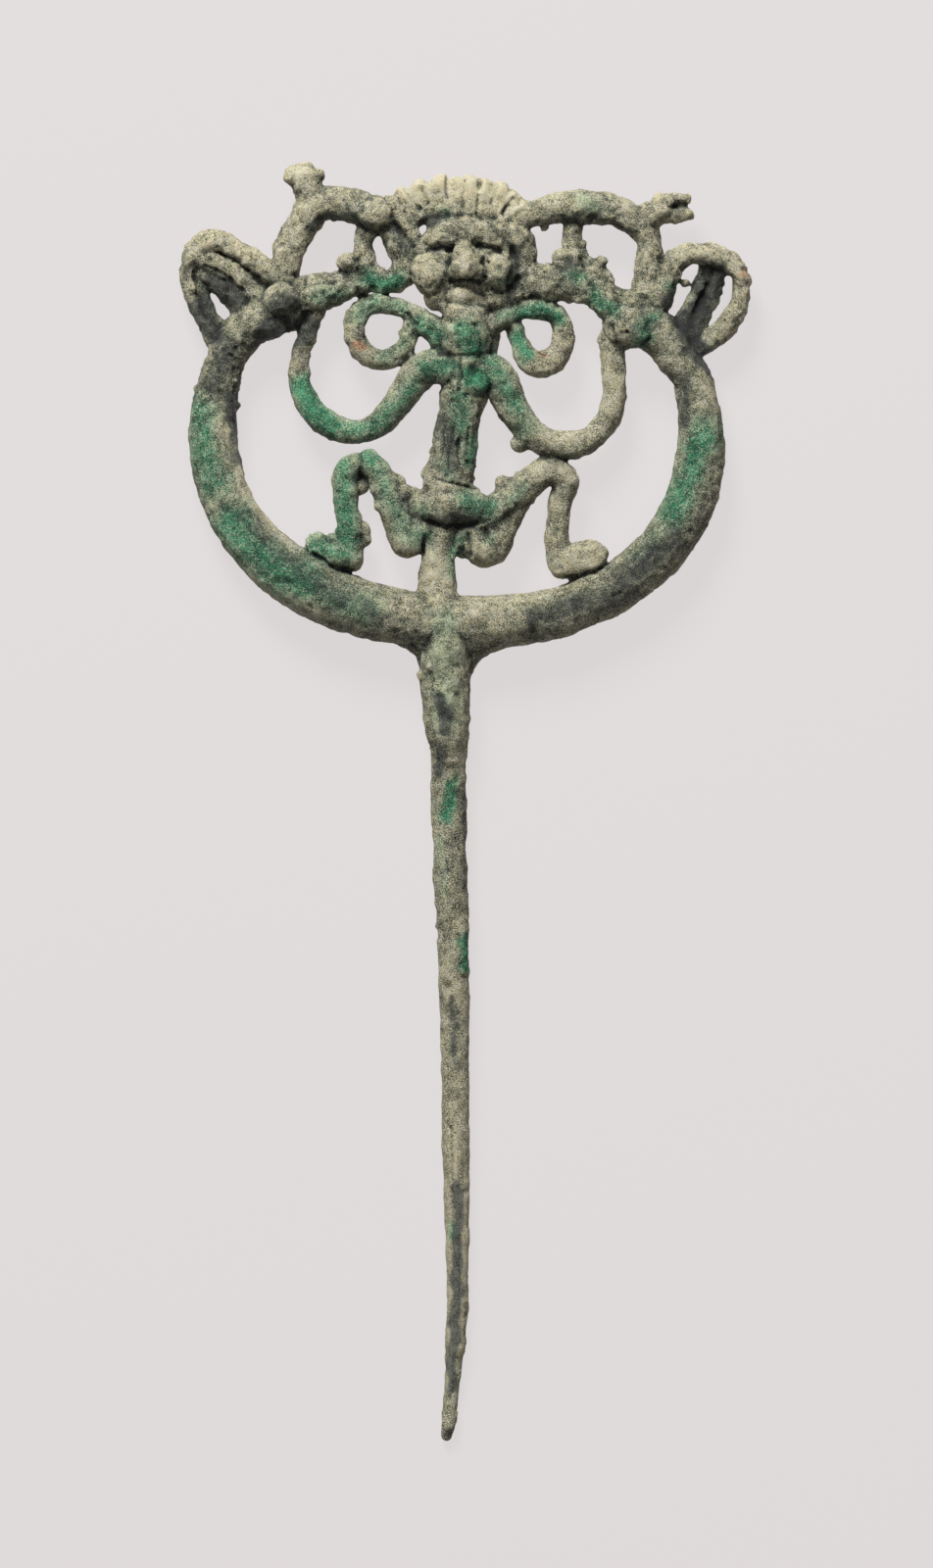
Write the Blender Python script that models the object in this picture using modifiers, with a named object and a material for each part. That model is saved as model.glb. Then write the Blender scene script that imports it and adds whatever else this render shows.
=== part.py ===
"""Openwork pin of cast bronze, lying on its back.

One casting: a tapering shank, an open ring, and inside the ring a seated figure
that holds two long necked beasts. Everything is drawn in millimetres around the
centre of the ring, with +X to the right as seen from the front, +Y towards the
head and +Z out of the front, on a back plane at Z = 0. The finished mesh is moved
so that its origin is the middle of the back of its bounding box.
"""

import math

import bmesh
import bpy
from mathutils import Matrix, Vector

NAME = "openwork_pin"
MM = 0.001

# Driving dimensions, in millimetres and degrees.
RING_HALF_WIDTH = 36.1
RING_DEPTH = 28.3
RING_SQUARENESS = 2.2
RING_TILT = -3.0
RING_SWEEP = 108.0
RING_BAR = 3.5
RING_KNOTS = 15
MIDPLANE = 3.3
SHANK_SET = 0.12
FAN_MIDDLE = (0.8, 28.0)
CAST_VOXEL = 0.42
CAST_SMOOTHING = 5
PLUMP = 0.08
TRIANGLES = 9300
SLAB = (300.0, 500.0, 40.0)

BRONZE_COLOUR = (0.20, 0.21, 0.14, 1.0)


def clear_scene():
    for obj in list(bpy.data.objects):
        bpy.data.objects.remove(obj, do_unlink=True)


def new_collection(name):
    collection = bpy.data.collections.new(name)
    bpy.context.scene.collection.children.link(collection)
    return collection


def press_on(wax, piece):
    """Adds a closed piece, held in its own bmesh, to the wax."""
    mesh = bpy.data.meshes.new("piece")
    piece.to_mesh(mesh)
    piece.free()
    wax.from_mesh(mesh)
    bpy.data.meshes.remove(mesh)


def ball(wax, x, y, z, r, stretch=(1.0, 1.0, 1.0)):
    """A rounded lump, stretched along each axis."""
    place = Matrix.Translation(Vector((x, y, z)) * MM) @ Matrix.Diagonal((*stretch, 1.0))
    piece = bmesh.new()
    bmesh.ops.create_uvsphere(piece, u_segments=16, v_segments=10, radius=(r + PLUMP) * MM, matrix=place)
    press_on(wax, piece)


def rod(wax, *knots):
    """A round rod through knots of (x, y, z, radius), with rounded ends."""
    curve = bpy.data.curves.new("rod", "CURVE")
    curve.dimensions = "3D"
    curve.bevel_depth = MM
    curve.bevel_resolution = 4
    curve.resolution_u = 6
    curve.use_fill_caps = True
    spline = curve.splines.new("BEZIER")
    spline.radius_interpolation = "CARDINAL"
    spline.bezier_points.add(len(knots) - 1)
    for point, (x, y, z, r) in zip(spline.bezier_points, knots):
        point.co = Vector((x, y, z)) * MM
        point.radius = r + PLUMP
        point.handle_left_type = "AUTO"
        point.handle_right_type = "AUTO"
    carrier = bpy.data.objects.new("rod", curve)
    bpy.context.scene.collection.objects.link(carrier)
    depsgraph = bpy.context.evaluated_depsgraph_get()
    mesh = bpy.data.meshes.new_from_object(carrier.evaluated_get(depsgraph))
    bpy.data.objects.remove(carrier, do_unlink=True)
    piece = bmesh.new()
    piece.from_mesh(mesh)
    bmesh.ops.remove_doubles(piece, verts=piece.verts, dist=1e-7)
    press_on(wax, piece)
    for end in (knots[0], knots[-1]):
        ball(wax, *end)


def ring_point(degrees):
    """A place on the ring's centre line, from straight down (0) out to either side."""
    s = math.sin(math.radians(degrees))
    c = math.cos(math.radians(degrees))
    power = 2.0 / RING_SQUARENESS
    flat = Vector((RING_HALF_WIDTH * math.copysign(abs(s) ** power, s), 0.0))
    flat.y = -RING_DEPTH * math.copysign(abs(c) ** power, c)
    return flat @ Matrix.Rotation(math.radians(-RING_TILT), 2)


def add_ring(wax):
    """The open ring: thickest low on its left side, thin where each neck begins."""
    knots = []
    for i in range(RING_KNOTS):
        degrees = RING_SWEEP * (2.0 * i / (RING_KNOTS - 1) - 1.0)
        x, y = ring_point(degrees)
        thin_end = max(0.0, abs(degrees) - 88.0) / (RING_SWEEP - 88.0)
        heavy_left = math.exp(-(((degrees + 35.0) / 24.0) ** 2))
        heavy_right = math.exp(-(((degrees - 70.0) / 25.0) ** 2))
        foot = math.exp(-((degrees / 30.0) ** 2))
        r = RING_BAR - 0.85 * thin_end + 0.75 * heavy_left + 0.25 * heavy_right + 0.3 * foot
        knots.append((x, y, MIDPLANE + 0.3 * foot, r))
    rod(wax, *knots)


def add_shank(wax):
    """The shank: a collar below the ring, a long taper, and a tip bent to one side.

    Each station is (x, y, radius); the underside stays on the back plane."""
    stations = (
        (-1.7, -27.0, 4.3),
        (-1.7, -32.5, 4.0),
        (-1.7, -36.2, 3.7),
        (-1.8, -40.6, 3.6),
        (-1.6, -43.5, 3.4),
        (-1.3, -46.4, 2.9),
        (-1.3, -50.5, 2.6),
        (-1.0, -66.7, 2.5),
        (-0.6, -75.0, 2.35),
        (-0.3, -95.7, 2.1),
        (-0.2, -110.2, 2.0),
        (0.0, -122.0, 1.7),
        (-0.1, -132.0, 1.6),
        (-0.5, -137.8, 1.35),
        (-0.9, -143.5, 1.15),
        (-1.3, -147.6, 1.05),
        (-1.6, -149.1, 0.85),
    )
    rod(wax, *((x, y, r - SHANK_SET, r) for x, y, r in stations))


def add_ring_fillets(wax):
    """Webs of metal where ring and shank run together."""
    rod(wax, (-8.4, -29.8, 3.3, 1.8), (-5.2, -31.6, 3.1, 2.0), (-3.6, -35.6, 2.8, 1.5))
    rod(wax, (6.6, -30.4, 3.3, 1.7), (2.8, -31.8, 3.1, 2.1), (0.6, -35.4, 2.8, 1.6))


def add_left_beast(wax):
    """The head that ends the ring on the left, its muzzle, and its looped horns."""
    x, y = ring_point(-RING_SWEEP)
    rod(
        wax,
        (x, y, MIDPLANE, 2.9),
        (-30.6, 15.8, 3.5, 3.2),
        (-27.2, 17.4, 3.8, 3.5),
        (-25.2, 17.9, 3.9, 3.3),
    )
    ball(wax, -25.9, 18.6, 5.4, 2.9)
    rod(wax, (-25.0, 20.2, 4.0, 2.2), (-19.1, 20.6, 4.0, 2.0), (-15.8, 21.1, 3.9, 1.7), (-14.2, 21.0, 3.8, 1.4))
    rod(wax, (-15.4, 22.6, 4.0, 1.3), (-16.5, 24.5, 4.2, 1.35))
    rod(
        wax,
        (-25.8, 22.0, 3.6, 1.7),
        (-29.0, 24.7, 3.9, 1.7),
        (-33.3, 27.2, 4.0, 1.8),
        (-37.2, 27.0, 3.8, 1.8),
        (-39.3, 24.8, 3.4, 1.7),
        (-39.4, 21.6, 3.2, 1.6),
        (-38.3, 17.9, 3.1, 1.5),
        (-36.0, 14.0, 3.1, 1.5),
    )
    rod(
        wax,
        (-28.4, 20.4, 3.2, 1.8),
        (-32.2, 22.7, 3.4, 1.7),
        (-36.2, 24.4, 3.4, 1.6),
        (-37.7, 22.4, 2.9, 1.3),
        (-37.3, 19.3, 2.8, 1.2),
        (-36.1, 16.2, 2.8, 1.2),
        (-34.4, 13.6, 2.9, 1.3),
    )
    rod(wax, (-37.2, 21.8, 2.4, 1.2), (-34.8, 20.8, 2.4, 1.2), (-32.0, 18.8, 2.6, 1.4), (-30.8, 16.4, 2.8, 1.6))


def add_right_beast(wax):
    """The head that ends the ring on the right, with its snout, horn loop and inner bars."""
    x, y = ring_point(RING_SWEEP)
    rod(
        wax,
        (x, y, MIDPLANE, 2.6),
        (33.0, 10.4, 3.4, 3.0),
        (30.2, 14.0, 3.5, 3.2),
        (28.0, 15.6, 3.7, 3.4),
        (25.2, 15.6, 4.0, 3.6),
    )
    ball(wax, 25.2, 14.6, 5.2, 3.2)
    rod(wax, (28.0, 17.4, 3.8, 2.3), (24.2, 18.0, 3.9, 2.4), (21.2, 20.0, 3.9, 2.1), (19.2, 22.4, 3.9, 2.0))
    ball(wax, 19.6, 24.8, 4.1, 1.25)
    ball(wax, 21.3, 24.6, 4.1, 1.1)
    rod(wax, (11.8, 22.8, 4.2, 2.0), (14.6, 21.6, 4.0, 2.2), (17.2, 21.4, 3.9, 2.4), (19.6, 20.4, 3.8, 1.9))
    rod(wax, (9.2, 20.8, 4.0, 1.6), (13.4, 20.2, 3.8, 1.5))
    rod(
        wax,
        (29.4, 17.0, 3.5, 2.1),
        (31.2, 21.0, 3.5, 1.7),
        (33.1, 24.4, 3.7, 1.65),
        (36.2, 26.1, 3.9, 1.7),
        (39.4, 25.4, 3.8, 1.7),
        (41.6, 23.1, 3.5, 1.65),
        (41.9, 20.2, 3.3, 1.6),
        (40.3, 17.0, 3.2, 1.5),
        (37.6, 14.4, 3.1, 1.4),
        (34.6, 12.4, 3.1, 1.4),
    )
    rod(wax, (37.0, 24.0, 3.0, 1.1), (35.4, 20.4, 2.7, 1.1), (33.5, 16.4, 2.8, 1.2))
    rod(wax, (39.6, 23.8, 3.2, 1.2), (37.6, 19.4, 2.7, 1.25), (35.6, 14.6, 2.8, 1.3))


def add_left_perched_animal(wax):
    """A small animal climbing over the left head: arched body, knobbed head, looped legs."""
    rod(
        wax,
        (-25.6, 24.4, 3.6, 2.1),
        (-24.1, 28.2, 3.8, 2.35),
        (-22.2, 31.6, 4.0, 2.4),
        (-20.0, 33.7, 4.0, 2.4),
        (-16.8, 33.2, 4.1, 2.75),
        (-12.4, 32.2, 4.3, 2.7),
    )
    rod(wax, (-21.6, 34.6, 4.0, 1.8), (-22.7, 37.5, 4.1, 2.1))
    for x, y, r in ((-24.3, 38.0, 1.4), (-22.3, 38.9, 1.25), (-20.6, 38.1, 1.2)):
        ball(wax, x, y, 4.2, r)
    rod(
        wax,
        (-12.9, 30.6, 4.0, 1.7),
        (-13.5, 26.6, 3.7, 1.5),
        (-13.3, 23.4, 3.6, 1.6),
        (-11.4, 21.7, 3.6, 1.5),
        (-8.9, 21.9, 3.6, 1.5),
        (-7.6, 23.8, 3.6, 1.6),
        (-8.8, 26.6, 3.8, 1.5),
        (-10.8, 29.8, 4.0, 1.3),
    )
    rod(wax, (-10.6, 32.8, 4.4, 1.0), (-8.3, 30.8, 4.4, 0.95), (-6.2, 28.0, 4.6, 1.0))
    rod(wax, (-11.0, 31.0, 4.0, 1.2), (-8.6, 28.4, 4.0, 1.2), (-6.4, 25.6, 4.2, 1.4))


def add_right_perched_animal(wax):
    """The animal on the right: level body, two legs and an open jawed head."""
    rod(
        wax,
        (8.6, 30.8, 4.2, 1.8),
        (11.4, 31.8, 4.1, 1.8),
        (14.2, 32.4, 4.0, 2.15),
        (18.7, 32.8, 4.2, 2.6),
        (22.3, 32.2, 4.1, 2.3),
        (25.6, 31.2, 4.0, 2.2),
        (28.2, 29.6, 3.8, 2.0),
        (28.6, 25.6, 3.6, 1.9),
        (28.2, 20.6, 3.6, 1.9),
    )
    ball(wax, 12.8, 30.2, 3.8, 0.7)
    rod(wax, (17.0, 31.0, 3.8, 1.3), (17.0, 27.0, 3.7, 1.25), (16.9, 24.6, 3.7, 1.8), (16.9, 22.6, 3.8, 1.9))
    rod(wax, (28.0, 31.4, 4.0, 2.0), (30.2, 32.8, 4.1, 2.0))
    ball(wax, 29.8, 34.3, 4.2, 0.95)
    rod(wax, (30.6, 33.6, 4.2, 1.3), (33.6, 34.2, 4.2, 0.95))
    rod(wax, (30.4, 31.6, 4.0, 1.2), (33.9, 32.0, 4.0, 0.85))


def add_neck_curls(wax):
    """A round curl on each side of the neck."""
    ball(wax, -4.6, 15.5, 4.8, 2.0)
    ball(wax, -2.4, 12.2, 4.2, 1.7)
    rod(
        wax,
        (-3.4, 14.8, 4.4, 2.0),
        (-6.4, 16.9, 4.0, 1.3),
        (-9.6, 18.5, 3.8, 1.15),
        (-12.8, 18.7, 3.7, 1.25),
        (-15.0, 16.8, 3.6, 1.45),
        (-15.0, 13.8, 3.6, 1.4),
        (-13.4, 11.4, 3.6, 1.4),
        (-10.8, 10.5, 3.6, 1.4),
        (-8.4, 11.6, 3.7, 1.4),
        (-7.2, 13.8, 3.8, 1.4),
        (-6.5, 16.0, 3.9, 1.2),
    )
    rod(
        wax,
        (4.6, 15.6, 4.6, 2.0),
        (7.4, 17.0, 4.2, 1.3),
        (9.9, 17.9, 4.0, 1.15),
        (12.6, 17.9, 3.9, 1.15),
        (14.9, 16.8, 3.8, 1.4),
        (15.7, 14.0, 3.7, 1.55),
        (15.0, 11.4, 3.6, 1.75),
        (12.7, 9.8, 3.6, 2.0),
        (10.3, 10.8, 3.6, 1.6),
        (9.1, 13.3, 3.7, 1.25),
        (8.2, 16.2, 3.8, 1.2),
    )


def add_arms(wax):
    """The figure's arms: each hangs in a deep U and rises to hold a beast by the throat."""
    rod(
        wax,
        (0.0, 8.8, 5.0, 2.4),
        (-4.7, 9.1, 4.6, 2.7),
        (-7.2, 6.3, 4.2, 2.35),
        (-9.6, 3.0, 3.8, 2.1),
        (-12.4, 0.5, 3.6, 1.9),
        (-15.4, -0.2, 3.5, 1.8),
        (-18.8, 0.8, 3.5, 1.85),
        (-21.7, 3.5, 3.5, 1.75),
        (-23.2, 7.0, 3.5, 1.55),
        (-23.3, 10.4, 3.5, 1.35),
        (-22.5, 13.6, 3.6, 1.3),
        (-21.0, 18.0, 3.8, 1.4),
    )
    rod(
        wax,
        (2.6, 9.2, 5.0, 2.4),
        (5.6, 8.5, 4.6, 2.4),
        (7.0, 5.7, 4.2, 2.3),
        (9.0, 2.0, 3.9, 2.25),
        (11.8, -1.0, 3.7, 2.15),
        (15.7, -2.2, 3.6, 2.05),
        (19.4, -1.3, 3.5, 1.95),
        (22.1, 1.4, 3.5, 1.8),
        (23.2, 5.0, 3.5, 1.7),
        (23.1, 9.0, 3.5, 1.65),
        (23.0, 14.0, 3.6, 1.7),
    )
    ball(wax, 9.2, -1.9, 3.7, 1.5)


def add_head(wax):
    """The head in its broad forms, with a fan of upright locks and a band under them."""
    ball(wax, 0.9, 24.0, 4.4, 1.0, (6.4, 7.4, 3.6))
    rod(wax, (-3.6, 28.6, 4.8, 2.6), (3.4, 29.4, 5.2, 2.9), (9.4, 28.6, 4.4, 2.3))
    rod(wax, (9.6, 27.8, 4.0, 2.1), (9.8, 24.0, 3.8, 2.0), (9.0, 20.8, 3.8, 1.8), (5.6, 19.2, 4.0, 2.2))
    ball(wax, -3.7, 23.5, 6.2, 2.9)
    ball(wax, 5.9, 23.9, 6.2, 2.9)
    ball(wax, -2.8, 19.6, 4.6, 2.3)
    rod(wax, (1.2, 27.4, 7.4, 1.5), (1.2, 24.8, 8.4, 1.4), (1.2, 22.9, 9.2, 1.6))
    rod(wax, (-1.6, 20.2, 7.2, 1.3), (1.2, 20.2, 8.0, 1.4), (4.0, 20.2, 7.2, 1.3))
    rod(wax, (-1.0, 18.2, 6.6, 1.2), (1.2, 17.9, 7.2, 1.3), (3.6, 18.2, 6.6, 1.2))
    rod(wax, (1.0, 18.4, 4.6, 3.3), (1.1, 13.0, 4.6, 3.3), (1.2, 9.6, 4.6, 3.0))
    rod(wax, (5.0, 16.0, 4.0, 2.0), (5.0, 12.0, 3.8, 1.8))
    locks = (
        (146.0, 12.4, 1.5),
        (131.0, 11.7, 1.7),
        (110.0, 11.1, 1.9),
        (90.0, 10.0, 1.8),
        (71.0, 10.0, 1.8),
        (56.0, 10.5, 1.7),
        (43.0, 11.2, 1.5),
        (32.0, 11.4, 1.4),
    )
    for degrees, reach, r in locks:
        lean = Vector((math.cos(math.radians(degrees)), math.sin(math.radians(degrees))))
        root = Vector(FAN_MIDDLE) + lean * 3.2
        tip = Vector(FAN_MIDDLE) + lean * (reach - r)
        rod(wax, (root.x, root.y, 4.4, r), (tip.x, tip.y, 4.2, r))


def add_trunk(wax):
    """Chest, waist, rolled belt, haunches and the stem that joins the figure to the ring."""
    rod(
        wax,
        (1.2, 9.0, 4.6, 3.1),
        (1.0, 5.6, 4.4, 3.4),
        (0.5, 2.0, 4.2, 2.95),
        (-0.3, -1.2, 4.2, 3.2),
        (-0.5, -4.4, 4.2, 3.1),
        (-1.4, -8.0, 4.2, 3.8),
    )
    ball(wax, -3.4, -6.6, 4.0, 1.9)
    ball(wax, 0.9, -17.4, 3.8, 1.6)
    ball(wax, 2.5, 7.0, 6.4, 2.1)
    rod(wax, (-4.2, -11.3, 4.6, 2.5), (-0.8, -11.2, 4.9, 2.6), (2.6, -11.4, 4.6, 2.5))
    rod(wax, (-4.2, -13.6, 4.0, 2.3), (-7.2, -16.5, 3.9, 2.4))
    rod(wax, (1.6, -14.0, 4.0, 2.4), (4.4, -17.4, 3.9, 2.7), (6.8, -14.2, 3.8, 2.2), (8.8, -10.6, 3.8, 1.9))
    rod(wax, (-2.0, -13.0, 4.0, 2.6), (-2.8, -18.6, 3.8, 2.4), (-3.0, -23.0, 3.6, 2.9), (-2.8, -27.2, 3.5, 3.8))


def add_legs(wax):
    """Legs drawn up with bent knees, their feet on the inside of the ring."""
    rod(
        wax,
        (-7.4, -16.4, 3.9, 2.4),
        (-8.9, -12.9, 3.8, 2.1),
        (-10.3, -9.4, 3.8, 2.05),
        (-11.9, -5.9, 3.8, 2.1),
        (-14.4, -4.1, 3.7, 2.0),
        (-16.5, -6.0, 3.6, 1.85),
        (-16.5, -10.0, 3.5, 1.75),
        (-16.0, -13.6, 3.5, 1.75),
        (-15.8, -17.2, 3.5, 1.9),
    )
    ball(wax, -14.5, -7.9, 2.8, 1.5)
    rod(wax, (-8.0, -9.4, 3.8, 1.3), (-5.8, -9.6, 4.0, 1.5))
    rod(wax, (-13.8, -14.3, 3.6, 0.8), (-13.7, -16.2, 3.6, 0.9))
    rod(
        wax,
        (-16.0, -18.8, 3.6, 2.2),
        (-18.4, -18.4, 3.7, 2.2),
        (-20.3, -17.2, 3.9, 1.8),
        (-21.4, -16.4, 4.0, 1.25),
    )
    rod(
        wax,
        (3.6, -13.4, 4.1, 2.6),
        (7.4, -10.4, 4.0, 2.6),
        (10.7, -7.8, 3.8, 2.3),
        (13.6, -6.0, 3.7, 2.15),
        (15.9, -7.4, 3.6, 2.0),
        (15.2, -10.8, 3.5, 1.75),
        (14.8, -15.0, 3.5, 1.75),
        (15.3, -19.6, 3.5, 2.0),
    )
    ball(wax, 6.7, -7.7, 4.0, 1.4)
    rod(wax, (15.6, -20.2, 3.6, 2.1), (18.4, -19.4, 3.7, 2.3), (20.4, -18.4, 3.8, 2.2))


def bronze_material():
    material = bpy.data.materials.new("patinated_bronze")
    material.use_nodes = True
    shader = material.node_tree.nodes["Principled BSDF"]
    shader.inputs["Base Color"].default_value = BRONZE_COLOUR
    shader.inputs["Roughness"].default_value = 0.8
    shader.inputs["Metallic"].default_value = 0.1
    material.diffuse_color = BRONZE_COLOUR
    return material


def evaluated_mesh(obj):
    depsgraph = bpy.context.evaluated_depsgraph_get()
    return bpy.data.meshes.new_from_object(obj.evaluated_get(depsgraph))


def back_cutter(cutters):
    """A slab whose top face is the back plane."""
    bpy.ops.mesh.primitive_cube_add(size=1.0)
    slab = bpy.context.object
    slab.name = "back_cutter"
    slab.scale = Vector(SLAB) * MM
    slab.location = (0.0, 0.0, -SLAB[2] * MM / 2.0)
    for owner in list(slab.users_collection):
        owner.objects.unlink(slab)
    cutters.objects.link(slab)
    slab.display_type = "WIRE"
    slab.hide_render = True
    return slab


def cast(wax_mesh, cutters):
    """Runs the wax rods together into one closed skin and grinds its back flat."""
    model = bpy.data.objects.new("wax_model", wax_mesh)
    cutters.objects.link(model)
    fuse = model.modifiers.new("fuse", "REMESH")
    fuse.mode = "VOXEL"
    fuse.voxel_size = CAST_VOXEL * MM
    soften = model.modifiers.new("soften", "SMOOTH")
    soften.factor = 0.5
    soften.iterations = CAST_SMOOTHING
    skin = evaluated_mesh(model)
    skin.calc_loop_triangles()
    bpy.data.objects.remove(model, do_unlink=True)
    thinned = bpy.data.objects.new("thinned", skin)
    cutters.objects.link(thinned)
    thin = thinned.modifiers.new("thin", "DECIMATE")
    thin.ratio = TRIANGLES / len(skin.loop_triangles)
    grind = thinned.modifiers.new("grind", "BOOLEAN")
    grind.operation = "DIFFERENCE"
    grind.object = back_cutter(cutters)
    finished = evaluated_mesh(thinned)
    bpy.data.objects.remove(thinned, do_unlink=True)
    return finished


def centre_on_back(mesh):
    """Moves the mesh so that its origin is the middle of the back of its box."""
    low = Vector(min(v.co[i] for v in mesh.vertices) for i in range(3))
    high = Vector(max(v.co[i] for v in mesh.vertices) for i in range(3))
    shift = Vector((-(low.x + high.x) / 2.0, -(low.y + high.y) / 2.0, -low.z))
    for vert in mesh.vertices:
        vert.co += shift


def main():
    clear_scene()
    pin = new_collection(NAME)
    cutters = new_collection("cutters")
    cutters.hide_render = True
    wax = bmesh.new()
    for add in (
        add_ring,
        add_shank,
        add_ring_fillets,
        add_left_beast,
        add_right_beast,
        add_left_perched_animal,
        add_right_perched_animal,
        add_neck_curls,
        add_arms,
        add_head,
        add_trunk,
        add_legs,
    ):
        add(wax)
    wax_mesh = bpy.data.meshes.new("wax")
    wax.to_mesh(wax_mesh)
    wax.free()
    mesh = cast(wax_mesh, cutters)
    centre_on_back(mesh)
    mesh.name = NAME
    mesh.materials.clear()
    mesh.materials.append(bronze_material())
    casting = bpy.data.objects.new(NAME, mesh)
    pin.objects.link(casting)
    mesh.shade_smooth()


main()
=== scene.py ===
"""Looks of the openwork pin: the crusted, patinated skin of one bronze casting.

The pin is drawn in millimetres around the centre of its ring, with +X to the right as
seen from the front, +Y towards the head and +Z out of the front, on a back plane at
Z = 0, exactly as the CAD solid is. The skin is fused from rods, balls and one block, like
the solid's but more of them and with a finer grain. Then creases are cut, the corrosion
crust is raised, and stains are laid as soft fields around short routes on the surface.
A few of these fields lay painted shade and painted highlight too, and the colour has
painted shade in the skin's hollows and painted highlight on its rises.
"""

import math
import random

import bmesh
import bpy
import numpy as np
from mathutils import Matrix, Vector


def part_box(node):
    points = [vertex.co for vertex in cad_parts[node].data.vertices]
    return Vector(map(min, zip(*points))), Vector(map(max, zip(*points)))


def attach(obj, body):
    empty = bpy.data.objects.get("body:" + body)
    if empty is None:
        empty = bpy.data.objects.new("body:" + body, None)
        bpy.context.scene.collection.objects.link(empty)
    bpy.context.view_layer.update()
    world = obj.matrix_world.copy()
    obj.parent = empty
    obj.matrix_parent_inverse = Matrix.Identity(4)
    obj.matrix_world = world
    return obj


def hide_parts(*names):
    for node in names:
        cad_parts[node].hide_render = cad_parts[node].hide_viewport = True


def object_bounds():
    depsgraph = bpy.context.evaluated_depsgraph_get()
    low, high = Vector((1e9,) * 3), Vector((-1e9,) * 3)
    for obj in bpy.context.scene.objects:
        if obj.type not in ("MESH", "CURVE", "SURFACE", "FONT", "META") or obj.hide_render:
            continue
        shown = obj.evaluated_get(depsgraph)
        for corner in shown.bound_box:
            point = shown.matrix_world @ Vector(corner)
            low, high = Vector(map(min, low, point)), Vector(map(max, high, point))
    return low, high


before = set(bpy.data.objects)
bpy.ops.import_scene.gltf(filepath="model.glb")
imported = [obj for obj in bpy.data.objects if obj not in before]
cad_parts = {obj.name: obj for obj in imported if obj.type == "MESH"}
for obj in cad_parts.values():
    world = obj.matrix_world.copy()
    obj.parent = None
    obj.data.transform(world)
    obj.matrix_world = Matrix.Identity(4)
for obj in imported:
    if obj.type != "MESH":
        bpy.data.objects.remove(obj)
CAD_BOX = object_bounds()

NODE = "openwork_pin"
MM = 0.001

# The same driving dimensions as the CAD solid, in millimetres and degrees.
RING_HALF_WIDTH = 36.1
RING_DEPTH = 28.3
RING_SQUARENESS = 2.2
RING_TILT = -3.0
RING_SWEEP = 108.0
RING_BAR = 3.5
RING_KNOTS = 15
MIDPLANE = 3.3
# How far the shank's underside reaches past the back plane, before that is ground flat.
SHANK_SET = 0.12
FAN_MIDDLE = (0.8, 28.0)

# Where the ring's bar is heavier: middle and spread in degrees, then extra radius.
HEAVY_LEFT = (-35.0, 24.0, 0.75)
HEAVY_RIGHT = (70.0, 25.0, 0.25)
HEAVY_FOOT = (0.0, 30.0, 0.3)
# From THIN_FROM degrees on to each end of the ring, its radius falls by THINNING.
THIN_FROM = 88.0
THINNING = 0.85

SKIN_VOXEL = 0.21
SKIN_SMOOTHING = 2
TRIANGLES = 194000
WELD = 1e-5
# Remeshing and smoothing shave the rods a little, so each is drawn fuller by this much.
PLUMP = 0.1


def primitive(make, **settings):
    """A primitive's corners, one row each, and its faces."""
    piece = bmesh.new()
    make(piece, **settings)
    corners = np.array([vert.co for vert in piece.verts])
    faces = [[vert.index for vert in face.verts] for face in piece.faces]
    piece.free()
    return corners, faces


UNIT_BALL = primitive(bmesh.ops.create_uvsphere, u_segments=16, v_segments=10, radius=1.0)
# 1 would leave a block as round as a ball, and 0 would give it sharp corners.
BLOCK_ROUNDNESS = 0.6

# What has been drawn so far: every rod in one curve, the corners and faces of each ball
# and block, and (x, y, z, radius) along the rods, where crumbs can sit.
rods = bpy.data.curves.new("rods", "CURVE")
lumps = []
spine = []


def ball(x, y, z, r, stretch=(1.0, 1.0, 1.0)):
    """A rounded lump, stretched along each axis."""
    corners, faces = UNIT_BALL
    lumps.append((corners * r * np.array(stretch) + np.array((x, y, z)), faces))


def block(x, y, z, size, turn):
    """A squared lump with soft corners, turned about Z."""
    corners, faces = UNIT_BALL
    squared = np.sign(corners) * np.abs(corners) ** BLOCK_ROUNDNESS * np.array(size) / 2.0
    turned = squared @ np.array(Matrix.Rotation(math.radians(-turn), 3, "Z"))
    lumps.append((turned + np.array((x, y, z)), faces))


def rod(*knots):
    """A round rod through knots of (x, y, z, radius), with rounded ends."""
    spline = rods.splines.new("BEZIER")
    spline.radius_interpolation = "CARDINAL"
    spline.resolution_u = 10
    spline.bezier_points.add(len(knots) - 1)
    knots = [(x, y, z, r + PLUMP) for x, y, z, r in knots]
    for point, (x, y, z, r) in zip(spline.bezier_points, knots):
        point.co = (x, y, z)
        point.radius = r
        point.handle_left_type = "AUTO"
        point.handle_right_type = "AUTO"
    for end in (knots[0], knots[-1]):
        ball(*end)
    for start, end in zip(knots, knots[1:]):
        for share in (0.0, 0.25, 0.5, 0.75):
            spine.append(tuple(a + (b - a) * share for a, b in zip(start, end)))


def ring_point(degrees):
    """A place on the ring's centre line, from straight down (0) out to either side."""
    s = math.sin(math.radians(degrees))
    c = math.cos(math.radians(degrees))
    power = 2.0 / RING_SQUARENESS
    flat = Vector((RING_HALF_WIDTH * math.copysign(abs(s) ** power, s), 0.0))
    flat.y = -RING_DEPTH * math.copysign(abs(c) ** power, c)
    return flat @ Matrix.Rotation(math.radians(-RING_TILT), 2)


def swelling(degrees, middle, spread):
    """1 at one place on the ring, falling off smoothly to either side."""
    return math.exp(-(((degrees - middle) / spread) ** 2))


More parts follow.
